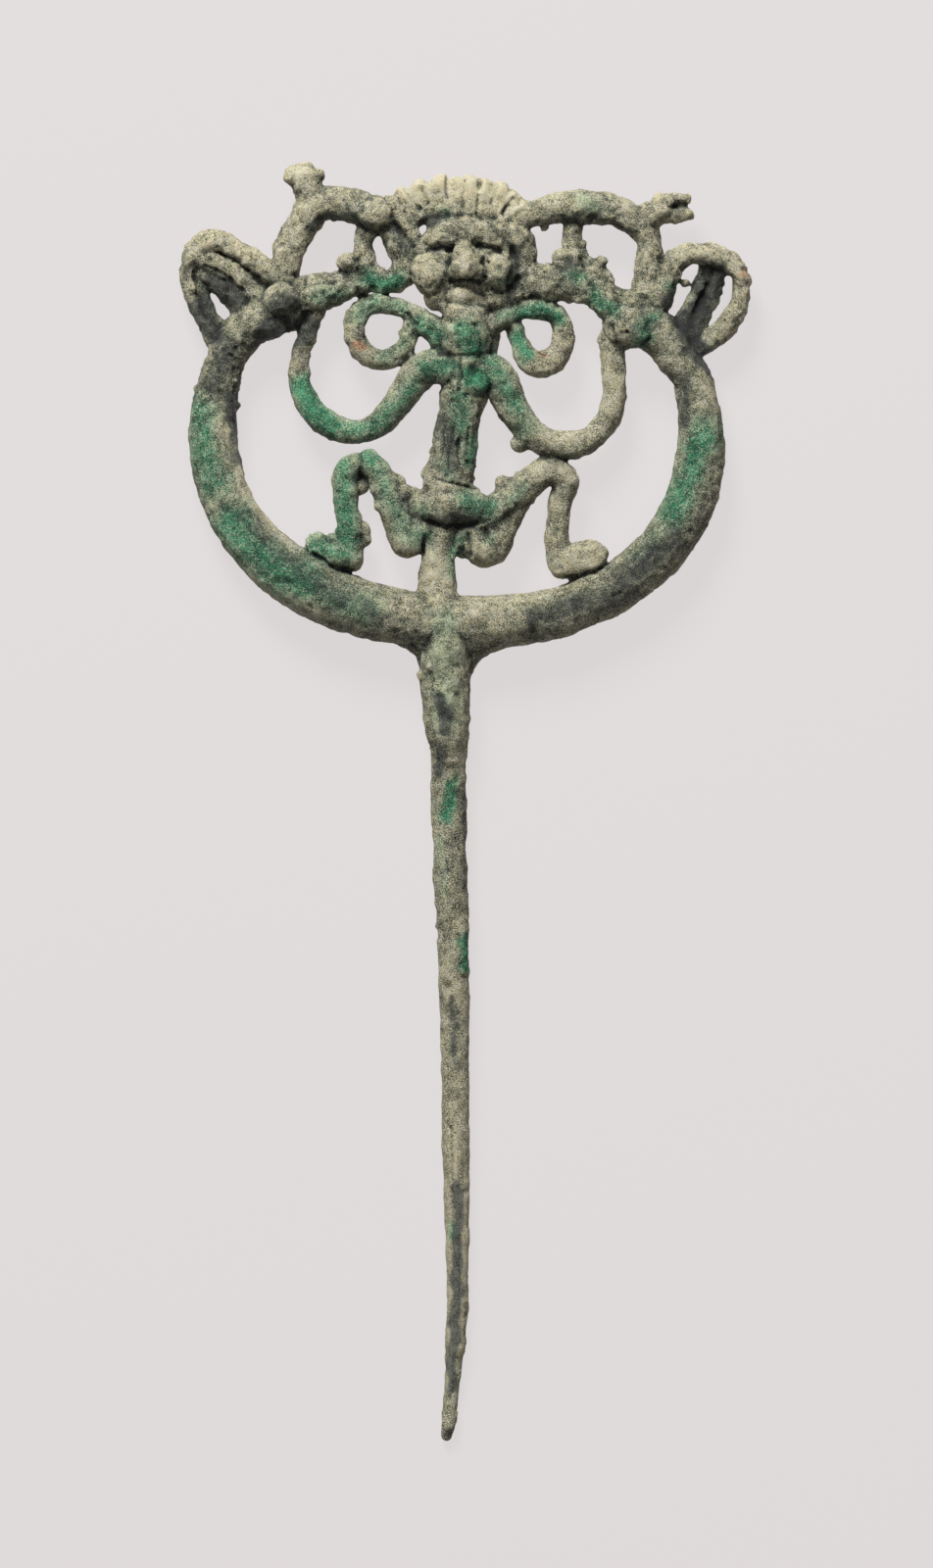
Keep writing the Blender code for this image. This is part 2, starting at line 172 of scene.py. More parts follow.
def add_ring():
    """The open ring: thickest low on its left side, thin where each neck begins."""
    knots = []
    for i in range(RING_KNOTS):
        degrees = RING_SWEEP * (2.0 * i / (RING_KNOTS - 1) - 1.0)
        x, y = ring_point(degrees)
        thin_end = max(0.0, abs(degrees) - THIN_FROM) / (RING_SWEEP - THIN_FROM)
        r = RING_BAR - THINNING * thin_end
        for middle, spread, extra in (HEAVY_LEFT, HEAVY_RIGHT, HEAVY_FOOT):
            r += extra * swelling(degrees, middle, spread)
        middle, spread, extra = HEAVY_FOOT
        knots.append((x, y, MIDPLANE + extra * swelling(degrees, middle, spread), r))
    rod(*knots)


def add_shank():
    """The shank: a collar below the ring, a long taper, and a tip bent to one side.

    Each station is (x, y, radius); the underside stays on the back plane."""
    stations = (
        (-1.7, -29.0, 3.8), (-1.7, -32.5, 3.85), (-1.7, -36.2, 3.7), (-1.8, -40.6, 3.6),
        (-1.6, -43.5, 3.4), (-1.3, -46.4, 2.9), (-1.3, -50.5, 2.6), (-1.0, -66.7, 2.5),
        (-0.6, -75.0, 2.35), (-0.3, -95.7, 2.1), (-0.2, -110.2, 2.0), (0.0, -122.0, 1.7),
        (-0.1, -132.0, 1.6), (-0.5, -137.8, 1.35), (-0.9, -143.5, 1.15), (-1.3, -147.6, 1.05),
        (-1.6, -149.1, 0.85),
    )
    rod(*((x, y, r - SHANK_SET, r - PLUMP) for x, y, r in stations))
    # fillets where the collar meets the ring
    rod((-8.4, -29.8, 3.3, 1.8), (-5.2, -31.6, 3.1, 2.0), (-3.6, -35.6, 2.8, 1.5))
    rod((6.6, -30.4, 3.3, 1.7), (2.8, -31.8, 3.1, 2.1), (0.6, -35.4, 2.8, 1.6))
    ball(-4.8, -30.0, 3.9, 2.9)
    ball(2.0, -30.2, 3.9, 2.9)


def add_left_beast():
    """The head that ends the ring on the left, its muzzle, and its looped horns."""
    x, y = ring_point(-RING_SWEEP)
    rod(
        (x, y, MIDPLANE, 2.9), (-30.6, 15.8, 3.5, 3.2), (-27.2, 17.2, 3.5, 3.3),
        (-25.2, 17.7, 3.5, 3.0),
    )
    # round boss, muzzle, and the knobs where the perched animal's foot meets it
    ball(-26.0, 19.4, 5.9, 2.75)
    rod(
        (-24.4, 19.6, 3.9, 2.8), (-21.0, 20.4, 4.0, 2.7), (-17.4, 21.2, 4.0, 2.4),
        (-14.2, 21.9, 3.9, 1.7),
    )
    ball(-16.2, 24.7, 4.6, 1.6)
    ball(-16.0, 23.2, 4.0, 1.5)
    # outer horn, then the strands inside its loop
    rod(
        (-25.8, 21.8, 4.0, 1.9), (-29.5, 24.6, 4.4, 1.7), (-32.3, 26.4, 4.6, 1.6),
        (-35.2, 27.8, 4.6, 1.65), (-37.6, 27.3, 4.4, 1.7), (-39.5, 25.2, 3.9, 1.55),
        (-39.4, 21.8, 3.6, 1.35), (-38.5, 18.4, 3.4, 1.3), (-37.1, 15.7, 3.3, 1.35),
        (-35.8, 13.6, 3.3, 1.5),
    )
    rod(
        (-39.2, 25.4, 3.9, 1.4), (-37.0, 25.3, 4.2, 1.6), (-34.6, 24.2, 4.3, 1.7),
        (-32.4, 22.6, 4.2, 1.65), (-30.5, 20.9, 4.0, 1.65), (-28.6, 19.2, 3.9, 1.8),
    )
    rod((-36.4, 26.2, 3.7, 1.3), (-34.0, 25.4, 3.8, 1.3), (-31.8, 24.1, 3.7, 1.2))
    rod(
        (-38.2, 24.0, 3.4, 1.4), (-36.0, 22.4, 3.3, 1.6), (-34.0, 20.8, 3.3, 1.9),
        (-32.2, 19.0, 3.2, 2.1), (-31.2, 16.2, 3.1, 2.1),
    )
    rod(
        (-38.4, 21.4, 3.2, 1.2), (-37.2, 18.4, 3.1, 1.25), (-36.2, 16.2, 3.0, 1.3),
        (-35.0, 13.6, 3.0, 1.5),
    )


def add_right_beast():
    """The head that ends the ring on the right, with its snout, horn loop and inner bars."""
    x, y = ring_point(RING_SWEEP)
    rod(
        (x, y, MIDPLANE, 2.6), (33.0, 10.4, 3.4, 3.0), (30.2, 14.0, 3.5, 3.2), (28.0, 15.6, 3.7, 3.4),
        (25.2, 15.6, 4.0, 3.6),
    )
    # round boss, then the snout with its chain of knobs
    ball(25.7, 15.2, 5.4, 3.1)
    rod((27.6, 17.6, 3.8, 2.5), (23.6, 18.5, 3.9, 2.6), (21.4, 19.9, 3.9, 2.4), (19.8, 23.0, 3.9, 1.7))
    ball(19.7, 24.8, 4.5, 1.0)
    ball(21.4, 25.0, 4.5, 1.05)
    rod((19.6, 21.6, 4.0, 1.7), (20.4, 24.0, 4.2, 1.55))
    ball(21.8, 23.2, 4.1, 1.1)
    ball(22.2, 21.6, 4.0, 1.15)
    # the bridge from the snout to the side of the figure's head
    rod((11.4, 21.7, 4.0, 2.2), (14.3, 21.7, 4.0, 2.4), (17.2, 21.6, 3.9, 2.5), (20.4, 20.4, 3.8, 2.1))
    rod((9.8, 24.2, 4.2, 1.7), (12.2, 23.0, 4.2, 1.6), (14.2, 22.6, 4.2, 1.5))
    rod((9.2, 20.8, 4.0, 1.6), (13.4, 20.4, 3.8, 1.5))
    # horn loop, a nub inside it, and the two inner bars
    rod(
        (29.2, 18.6, 3.6, 2.3), (31.0, 22.8, 3.8, 1.9), (32.8, 25.3, 4.1, 1.75),
        (35.6, 26.2, 4.4, 1.65), (38.9, 25.6, 4.3, 1.65), (41.3, 23.9, 4.0, 1.6),
        (42.1, 21.2, 3.7, 1.45), (41.5, 18.4, 3.5, 1.5), (39.8, 15.6, 3.4, 1.6), (37.4, 13.4, 3.3, 1.5),
        (34.8, 12.0, 3.1, 1.6),
    )
    ball(33.8, 21.8, 3.6, 0.85)
    rod((37.0, 24.0, 3.2, 1.2), (35.6, 20.3, 3.0, 1.15), (34.2, 17.6, 2.9, 1.2), (33.2, 15.2, 2.9, 1.5))
    rod((38.8, 23.8, 3.3, 1.2), (37.8, 20.3, 3.0, 1.2), (36.3, 17.2, 2.9, 1.25), (34.8, 14.0, 2.9, 1.5))


def add_left_perched_animal():
    """A small animal climbing over the left head: arched body, knobbed head, looped legs."""
    rod(
        (-25.4, 24.4, 3.6, 2.2), (-24.6, 27.4, 3.8, 2.3), (-22.8, 30.5, 4.0, 2.35),
        (-21.0, 33.2, 4.0, 2.4), (-18.3, 33.8, 4.0, 2.4), (-15.6, 33.3, 4.1, 2.45),
        (-12.4, 32.2, 4.3, 2.4),
    )
    # rump, then the neck and the knobs of the head
    ball(-12.1, 31.9, 5.2, 2.6)
    rod((-21.6, 34.6, 4.0, 2.1), (-22.5, 37.2, 4.1, 2.25))
    ball(-24.1, 37.5, 4.4, 1.5)
    ball(-22.2, 38.7, 4.4, 1.2)
    ball(-20.7, 37.8, 4.2, 1.15)
    # the looped leg, and two strands that run down from the rump to the figure's temple
    rod(
        (-12.9, 30.6, 4.0, 1.7), (-13.5, 28.6, 3.9, 1.45), (-13.7, 25.8, 3.9, 1.6),
        (-12.8, 23.4, 3.8, 1.6), (-11.0, 22.0, 3.8, 1.6), (-8.9, 22.6, 3.8, 1.7),
        (-7.7, 24.6, 3.9, 2.0), (-8.8, 27.0, 4.0, 1.8), (-10.4, 30.0, 4.1, 1.5),
    )
    rod((-9.8, 33.4, 4.8, 1.2), (-8.3, 31.4, 4.9, 1.15), (-7.0, 29.6, 5.0, 1.1), (-5.8, 27.6, 5.0, 1.15))
    rod((-10.4, 29.4, 4.4, 1.2), (-8.2, 27.6, 4.6, 1.2), (-6.4, 25.6, 4.6, 1.4))


def add_right_perched_animal():
    """The animal on the right: level body, two legs and an open jawed head."""
    rod(
        (8.6, 31.0, 4.2, 1.8), (11.4, 32.0, 4.2, 1.8), (14.2, 32.8, 4.1, 2.1), (18.5, 33.0, 4.4, 2.5),
        (22.3, 32.7, 4.1, 2.3), (25.2, 31.6, 4.0, 2.2), (27.4, 30.0, 3.8, 2.1), (28.3, 27.4, 3.7, 1.95),
        (28.3, 24.6, 3.7, 1.85), (27.9, 20.8, 3.6, 2.1),
    )
    ball(18.5, 33.1, 5.2, 2.35)
    ball(14.2, 33.8, 4.6, 1.1)
    ball(12.8, 30.2, 3.8, 0.7)
    # the inner leg, with rolls of metal across its foot
    rod((17.0, 31.0, 3.8, 1.4), (17.0, 28.4, 3.9, 1.3), (17.1, 25.8, 3.8, 1.4), (16.9, 22.6, 3.8, 2.0))
    ball(18.1, 27.4, 4.0, 1.0)
    for height in (25.9, 24.8, 23.7):
        rod((15.1, height - 0.2, 3.9, 0.85), (16.9, height, 5.1, 0.9), (18.6, height + 0.1, 3.9, 0.85))
    # neck, brow, upper jaw, lower jaw, and the web that closes the mouth behind
    rod((28.0, 31.4, 4.0, 2.0), (30.2, 32.6, 4.2, 2.0))
    ball(29.9, 33.8, 4.9, 1.3)
    rod((30.6, 33.6, 4.5, 1.3), (32.4, 34.2, 4.5, 1.0), (33.9, 34.2, 4.4, 0.85))
    rod((30.4, 31.6, 4.3, 1.2), (32.6, 31.6, 4.3, 0.95), (34.1, 31.9, 4.2, 0.85))
    rod((31.0, 32.8, 3.8, 1.1), (33.3, 33.0, 3.7, 0.9))


def add_neck_curls():
    """A round curl on each side of the neck."""
    ball(-4.6, 15.5, 5.0, 1.9)
    ball(-3.0, 13.6, 4.8, 1.5)
    ball(-2.4, 12.2, 4.2, 1.6)
    rod(
        (-3.4, 14.8, 4.4, 2.0), (-6.4, 16.9, 4.3, 1.4), (-9.6, 18.4, 4.0, 1.3), (-12.8, 18.6, 3.9, 1.4),
        (-15.0, 16.8, 3.8, 1.55), (-15.0, 13.8, 3.7, 1.55), (-13.4, 11.4, 3.7, 1.5),
        (-10.8, 10.5, 3.7, 1.5), (-8.4, 11.6, 3.9, 1.45), (-7.2, 13.8, 4.3, 1.4),
        (-7.1, 15.4, 4.6, 1.2),
    )
    rod(
        (4.6, 15.6, 4.6, 2.0), (7.4, 17.0, 4.6, 1.4), (9.9, 17.9, 4.3, 1.3), (12.6, 17.9, 4.1, 1.35),
        (14.9, 16.7, 3.9, 1.5), (15.7, 14.0, 3.8, 1.65), (15.0, 11.4, 3.7, 1.75), (12.7, 9.8, 3.7, 2.0),
        (10.3, 10.8, 3.7, 1.6), (9.1, 13.3, 3.8, 1.25), (8.2, 16.2, 3.9, 1.2),
    )


def add_arms():
    """The figure's arms: each hangs in a deep U and rises to hold a beast by the throat.

    The left arm, its shoulder, the right arm, and a stub that hangs below it."""
    rod(
        (0.0, 8.8, 5.0, 2.4), (-4.7, 9.1, 4.8, 2.65), (-7.2, 6.3, 4.4, 2.35), (-9.6, 3.0, 4.0, 2.1),
        (-12.4, 0.5, 3.7, 1.9), (-15.4, -0.2, 3.6, 1.8), (-18.8, 0.8, 3.6, 1.85),
        (-21.7, 3.5, 3.6, 1.75), (-23.2, 7.0, 3.5, 1.55), (-23.3, 10.4, 3.5, 1.35),
        (-22.5, 13.6, 3.6, 1.3), (-21.0, 18.0, 3.8, 1.4),
    )
    ball(-1.8, 8.6, 5.6, 2.1)
    rod(
        (2.6, 9.6, 4.8, 2.2), (5.6, 8.5, 4.8, 2.4), (7.0, 5.7, 4.4, 2.3), (9.0, 2.0, 4.1, 2.25),
        (11.8, -1.0, 3.9, 2.15), (15.7, -2.2, 3.8, 2.05), (19.4, -1.3, 3.7, 1.95),
        (22.1, 1.4, 3.6, 1.8), (23.2, 5.0, 3.5, 1.7), (23.1, 9.0, 3.5, 1.65), (23.0, 14.0, 3.6, 1.7),
    )
    ball(9.2, -1.9, 3.7, 1.5)


def add_head():
    """The head: cap, band over the brow, round cheeks, wedge of a nose, plain lips."""
    ball(0.9, 24.0, 4.4, 1.0, (6.3, 7.3, 3.4))
    # cap and band
    rod((-2.5, 29.2, 4.8, 2.2), (3.4, 29.4, 5.0, 2.6), (9.0, 28.4, 4.4, 2.2))
    rod(
        (-5.0, 26.7, 5.4, 1.3), (-2.7, 28.6, 6.2, 1.9), (0.9, 29.4, 6.6, 2.2), (4.5, 28.5, 6.2, 1.9),
        (7.0, 26.2, 5.4, 1.3),
    )
    # hair down the right side, ridged across
    rod((9.6, 27.8, 4.2, 2.0), (9.8, 24.0, 4.0, 1.9), (9.0, 20.8, 4.0, 1.8), (5.6, 19.2, 4.2, 2.0))
    ridges = (
        (8.9, 29.4, 2.1), (9.4, 27.9, 2.3), (9.9, 26.4, 2.0), (10.3, 24.6, 1.6), (10.2, 22.8, 1.6),
    )
    for x, y, length in ridges:
        rod((x - length / 2, y + 0.5, 5.4, 0.75), (x + length / 2, y - 0.4, 4.5, 0.8))
    # cheeks, eyes and jaws
    ball(-3.5, 23.4, 5.7, 3.5, (0.95, 1.0, 0.85))
    ball(5.8, 23.8, 5.7, 3.3, (0.98, 1.06, 0.88))
    ball(-1.8, 25.2, 5.9, 2.3)
    ball(4.0, 25.4, 5.9, 2.3)
    ball(-2.5, 19.9, 4.7, 2.2)
    ball(5.0, 19.7, 4.7, 2.2)
    # nose
    rod((1.0, 27.6, 7.0, 1.5), (1.1, 25.6, 7.9, 1.7), (1.2, 23.9, 8.7, 1.8))
    ball(1.1, 24.8, 6.9, 2.6)
    ball(-0.7, 23.3, 7.5, 1.55)
    ball(2.9, 23.3, 7.5, 1.55)
    # lips, and the chin that carries them
    rod((-0.8, 20.0, 6.5, 0.9), (1.0, 19.8, 7.1, 1.25), (2.7, 19.5, 6.6, 0.9))
    rod((-1.3, 17.6, 6.0, 0.95), (0.6, 17.0, 6.5, 1.15), (2.4, 16.7, 6.1, 0.95))
    ball(0.9, 19.2, 5.7, 2.5)
    ball(-1.3, 18.8, 5.1, 1.9)
    ball(3.2, 18.4, 5.1, 1.9)
    # neck
    rod((1.2, 17.6, 4.8, 3.4), (1.3, 13.8, 4.8, 3.8), (1.3, 10.4, 4.6, 3.3))
    ball(0.7, 14.6, 6.5, 2.7)
    rod((4.5, 16.4, 3.9, 1.8), (4.4, 12.0, 3.8, 1.7))


# The roots of the locks: reach from the fan's middle, height, and share of the tip's radius.
ROOT_REACH = 3.4
ROOT_HEIGHT = 5.2
ROOT_SHARE = 0.9


def add_fan():
    """The fan of upright locks over the brow, broad and run together at their roots.

    Each lock is its direction in degrees, its reach from the fan's middle, its radius and
    the height of its tip."""
    rod(
        (-6.4, 31.6, 4.2, 1.9), (-3.4, 33.6, 4.3, 2.1), (1.0, 34.2, 4.4, 2.2), (5.4, 33.2, 4.3, 2.1),
        (8.2, 30.8, 4.2, 1.9),
    )
    locks = (
        (143.0, 12.3, 1.55, 4.2), (129.0, 11.4, 1.6, 4.6), (113.0, 10.4, 1.95, 4.9),
        (96.0, 9.5, 1.3, 4.5), (82.0, 9.9, 1.75, 4.7), (67.0, 10.0, 1.5, 4.9),
        (53.0, 10.4, 1.6, 4.6), (40.0, 11.0, 1.6, 4.3), (26.0, 11.7, 1.7, 4.4),
    )
    for degrees, reach, r, height in locks:
        lean = Vector((math.cos(math.radians(degrees)), math.sin(math.radians(degrees))))
        root = Vector(FAN_MIDDLE) + lean * ROOT_REACH
        tip = Vector(FAN_MIDDLE) + lean * (reach - r)
        rod((root.x, root.y, ROOT_HEIGHT, r * ROOT_SHARE), (tip.x, tip.y, height, r))


def add_trunk():
    """Chest, waist, rolled belt, haunches and the stem that joins the figure to the ring."""
    rod(
        (1.2, 9.0, 4.6, 3.1), (0.9, 5.6, 4.4, 3.5), (0.4, 2.0, 4.3, 3.1), (-0.3, -1.2, 4.2, 3.3),
        (-0.5, -4.4, 4.2, 3.35), (-1.4, -8.0, 4.2, 3.7),
    )
    ball(-3.4, -6.6, 4.0, 1.9)
    ball(0.9, -17.4, 3.8, 1.6)
    # lump on the chest, rolled belt, and the ledge over it
    ball(2.8, 7.0, 6.3, 1.95, (1.0, 0.92, 0.9))
    rod((-4.8, -11.1, 4.6, 2.5), (-1.4, -11.2, 5.3, 3.05), (2.4, -11.3, 4.8, 2.65))
    rod((-3.0, -8.2, 5.2, 1.2), (0.0, -8.6, 5.7, 1.2), (2.6, -9.2, 5.0, 1.0))
    # haunches
    rod((-4.2, -13.6, 4.0, 2.3), (-7.2, -16.5, 3.9, 2.4))
    rod((1.6, -14.0, 4.0, 2.4), (4.4, -17.4, 3.9, 2.7), (6.8, -14.2, 3.8, 2.2), (8.8, -10.6, 3.8, 1.9))
    ball(4.3, -17.6, 4.6, 2.4)
    # stem, with a thin seam on its front
    rod((-2.0, -13.0, 4.0, 2.6), (-2.8, -18.6, 3.9, 2.4), (-3.0, -23.0, 3.7, 2.9), (-2.8, -27.2, 3.6, 3.8))
    rod((0.6, -13.8, 5.4, 0.6), (0.3, -16.6, 5.5, 0.6), (-0.8, -18.6, 5.3, 0.5))


def add_legs():
    """Legs drawn up with bent knees, their feet on the inside of the ring."""
    # left thigh and shin
    rod(
        (-7.4, -16.4, 3.9, 2.4), (-8.9, -12.9, 3.9, 2.1), (-10.3, -9.4, 3.9, 2.0),
        (-11.9, -5.9, 4.0, 2.0), (-13.2, -4.4, 4.0, 1.8),
    )
    rod(
        (-14.2, -4.7, 3.7, 1.8), (-16.3, -5.9, 3.8, 1.85), (-16.5, -10.0, 3.6, 1.75),
        (-16.0, -13.6, 3.6, 1.75), (-15.8, -17.2, 3.6, 1.9),
    )
    # the metal behind the knee, the lumps beside the thigh, and the spur on the shin
    ball(-14.5, -7.9, 2.6, 1.5)
    for x, y, r in ((-8.9, -7.6, 1.2), (-8.2, -9.4, 1.6), (-7.7, -11.6, 1.8), (-6.6, -9.6, 1.4)):
        ball(x, y, 3.8, r)
    rod((-13.8, -14.3, 3.6, 0.8), (-13.7, -16.2, 3.6, 0.9))
    # left foot
    rod(
        (-16.0, -18.8, 3.7, 2.2), (-18.4, -18.2, 3.9, 2.3), (-20.3, -17.2, 4.0, 1.7),
        (-21.4, -16.4, 4.0, 1.25),
    )
    ball(-20.6, -15.9, 4.6, 1.2)
    ball(-18.6, -15.9, 4.4, 0.9)
    # right leg in one run, the lump on its thigh, and its square foot
    rod(
        (3.6, -13.4, 4.1, 2.5), (7.4, -10.4, 4.1, 2.5), (10.7, -7.8, 4.0, 2.3), (13.6, -6.0, 3.9, 2.15),
        (15.9, -7.4, 3.7, 2.0), (15.2, -10.8, 3.6, 1.75), (14.8, -15.0, 3.6, 1.75),
        (15.3, -19.6, 3.6, 2.0),
    )
    ball(6.7, -7.7, 4.3, 1.4)
    rod((15.6, -20.2, 3.6, 1.9), (18.4, -19.4, 3.7, 2.0), (20.4, -18.4, 3.8, 1.9))
    block(18.0, -18.9, 3.9, (7.6, 5.0, 4.2), 14.0)


# How deep each crumb sits in the metal, as a share of its radius, which is drawn from a range
# and smaller on rods thinner than THICK_ROD. Its side is drawn too, from low to near the top.
CRUMB_SUNK = 0.3
CRUMB_RADIUS = (0.3, 0.8)
CRUMB_LIFT = (-0.3, 0.9)
THICK_ROD = 2.0
CRUMB_SEED = 7


def add_crumbs():
    """Small nodules of corrosion, thickest in the crooks where limbs meet.

    Each crook is its place, its reach in X and Y, and how many crumbs it holds."""
    pick = random.Random(CRUMB_SEED)
    crooks = (
        (-9.0, -8.6, 2.6, 26), (7.4, -8.2, 2.6, 14), (-3.0, -4.6, 3.2, 12), (-6.4, 12.6, 3.6, 16),
        (6.4, 12.0, 3.6, 10), (16.8, 23.5, 3.4, 40), (12.0, 21.0, 3.4, 20), (24.0, 19.8, 3.0, 16),
        (29.0, 18.4, 3.2, 14), (25.0, 12.4, 2.6, 10), (-18.0, 31.6, 3.6, 10),
        (-14.6, 23.6, 3.0, 16), (-25.0, 15.0, 3.0, 14), (-32.6, 14.0, 4.0, 22),
        (29.0, 31.6, 3.0, 8), (11.0, 27.0, 4.5, 22), (34.6, 13.6, 3.2, 18), (36.2, 18.6, 3.0, 26),
        (-35.4, 21.6, 3.0, 12), (-14.0, -15.4, 2.6, 10), (-20.6, -15.8, 2.4, 6),
        (-31.6, 6.0, 5.0, 14), (33.0, 4.0, 5.0, 10), (1.0, 35.4, 5.0, 14), (-1.0, -76.0, 5.0, 8),
        (0.0, -112.0, 14.0, 7), (-2.6, -38.0, 3.0, 6),
    )
    for x, y, reach, count in crooks:
        near = [s for s in spine if math.hypot(s[0] - x, s[1] - y) < reach]
        for _ in range(count):
            px, py, pz, pr = pick.choice(near)
            turn = pick.uniform(0.0, math.tau)
            lift = pick.uniform(*CRUMB_LIFT)
            radius = pick.uniform(*CRUMB_RADIUS) * min(1.0, pr / THICK_ROD)
            out = pr - CRUMB_SUNK * radius
            level = math.sqrt(1.0 - lift * lift) * out
            ball(px + level * math.cos(turn), py + level * math.sin(turn), pz + lift * out, radius)


def fuse():
    """Runs rods and balls together into one closed skin, in millimetres."""
    rods.dimensions = "3D"
    rods.bevel_depth = 1.0
    rods.bevel_resolution = 6
    rods.use_fill_caps = True
    carrier = bpy.data.objects.new("rods", rods)
    bpy.context.scene.collection.objects.link(carrier)
    depsgraph = bpy.context.evaluated_depsgraph_get()
    tubes = bpy.data.meshes.new_from_object(carrier.evaluated_get(depsgraph))
    bpy.data.objects.remove(carrier, do_unlink=True)
    corners = []
    faces = []
    for lump_corners, lump_faces in lumps:
        faces.extend([index + len(corners) for index in face] for face in lump_faces)
        corners.extend(lump_corners.tolist())
    wax = bpy.data.meshes.new("wax")
    wax.from_pydata(corners, [], faces)
    joined = bmesh.new()
    joined.from_mesh(tubes)
    bmesh.ops.remove_doubles(joined, verts=joined.verts, dist=WELD)
    joined.from_mesh(wax)
    joined.to_mesh(wax)
    joined.free()
    bpy.data.meshes.remove(tubes)
    model = bpy.data.objects.new("wax", wax)
    bpy.context.scene.collection.objects.link(model)
    melt = model.modifiers.new("melt", "REMESH")
    melt.mode = "VOXEL"
    melt.voxel_size = SKIN_VOXEL
    soften = model.modifiers.new("soften", "SMOOTH")
    soften.factor = 0.5
    soften.iterations = SKIN_SMOOTHING
    return apply_modifiers(model)


def apply_modifiers(obj):
    """The object's finished mesh; the object itself is removed."""
    depsgraph = bpy.context.evaluated_depsgraph_get()
    mesh = bpy.data.meshes.new_from_object(obj.evaluated_get(depsgraph))
    bpy.data.objects.remove(obj, do_unlink=True)
    return mesh


def places(mesh):
    """Every vertex's place, one row each."""
    values = np.empty(len(mesh.vertices) * 3, np.float32)
    mesh.vertices.foreach_get("co", values)
    return values.reshape(-1, 3).astype(float)


def facings(mesh):
    """Every vertex's normal, one row each."""
    values = np.empty(len(mesh.vertices) * 3, np.float32)
    mesh.vertex_normals.foreach_get("vector", values)
    return values.reshape(-1, 3).astype(float)


def put_places(mesh, co):
    """Moves every vertex to its row's place."""
    mesh.vertices.foreach_set("co", co.astype(np.float32).ravel())
    mesh.update()


def fade(distance, reach):
    """1 at no distance, falling smoothly to 0 at reach."""
    t = np.clip(1.0 - distance / reach, 0.0, 1.0)
    return t * t * (3.0 - 2.0 * t)


def route_distance(co, route):
    """Distance in X and Y from each point to a route of (x, y) places."""
    flat = co[:, :2]
    if len(route) == 1:
        return np.linalg.norm(flat - np.array(route[0]), axis=1)
    nearest = np.full(len(flat), np.inf)
    for start, end in zip(np.array(route[:-1]), np.array(route[1:])):
        along = end - start
        share = np.clip((flat - start) @ along / (along @ along), 0.0, 1.0)
        away = np.linalg.norm(flat - (start + share[:, None] * along), axis=1)
        nearest = np.minimum(nearest, away)
    return nearest


def cell_value(cell, seed):
    """A repeatable number from -1 to 1 for each whole-numbered cell.

    The large odd numbers only scatter the bits of the cell's three indices."""
    mixed = (cell[:, 0] * 73856093) ^ (cell[:, 1] * 19349663) ^ (cell[:, 2] * 83492791)
    mixed = (mixed ^ (seed * 2654435761)) & 0x7FFFFFFF
    mixed = ((mixed ^ (mixed >> 13)) * 1274126177) & 0x7FFFFFFF
    return ((mixed ^ (mixed >> 16)) & 0xFFFF) / 32767.5 - 1.0


def noise(co, size, seed):
    """Smooth noise from about -1 to 1, with blobs about size across."""
    place = co / size
    cell = np.floor(place).astype(np.int64)
    share = place - cell
    share = share * share * (3.0 - 2.0 * share)
    total = np.zeros(len(co))
    for corner in np.ndindex(2, 2, 2):
        weight = np.prod(np.where(corner, share, 1.0 - share), axis=1)
        total += weight * cell_value(cell + np.array(corner), seed)
    return total


def pits(co, size, seed, share_of_cells):
    """1 at the middle of scattered round pits, 0 outside them. Cells are size across.

    A pit's middle is 0.1 to 0.9 of the way across its cell, and its radius 0.16 to 0.4 of it."""
    place = co / size
    cell = np.floor(place).astype(np.int64)
    depth = np.zeros(len(co))
    for step in np.ndindex(3, 3, 3):
        home = cell + np.array(step) - 1
        jitter = [cell_value(home, seed + axis) * 0.4 + 0.5 for axis in range(3)]
        away = np.linalg.norm(place - home - np.stack(jitter, axis=1), axis=1)
        open_here = cell_value(home, seed + 3) * 0.5 + 0.5 < share_of_cells
        width = 0.28 + 0.12 * cell_value(home, seed + 4)
        depth = np.maximum(depth, np.where(open_here, fade(away, width), 0.0))
    return depth


def level_with(co, middle, reach):
    """1 at one distance along Y, falling smoothly to 0 at reach from it."""
    return fade(np.abs(co[:, 1] - middle), reach)


def beside(co, route, reach):
    """1 on a route of (x, y) places, falling smoothly to 0 at reach from it."""
    return fade(route_distance(co, route), reach)


# Stretches along Y: middle and reach.
CALM_SHANK = (-100.0, 60.0)
ROUGH_BAND = (-77.0, 12.0)
COARSE_HEAD = (26.0, 20.0)
# Places on the front: route and reach.
ROUGH_WAIST = (((-2.0, -4.0), (0.0, 4.0)), 9.0)
ROUGH_RING_END = (((-35.6, 6.0), (-32.0, 13.0)), 8.0)


def crust_strength(co):
    """How rough the skin is: calm on the lower shank, coarse on the head and the beasts,
    and rough on the waist, on one band of the shank and where the ring meets the left head."""
    strength = np.full(len(co), 0.75)
    strength -= 0.3 * level_with(co, *CALM_SHANK)
    strength += 0.6 * level_with(co, *COARSE_HEAD)
    strength += 0.25 * beside(co, *ROUGH_WAIST)
    strength += 0.35 * level_with(co, *ROUGH_BAND)
    strength += 0.5 * beside(co, *ROUGH_RING_END)
    return strength


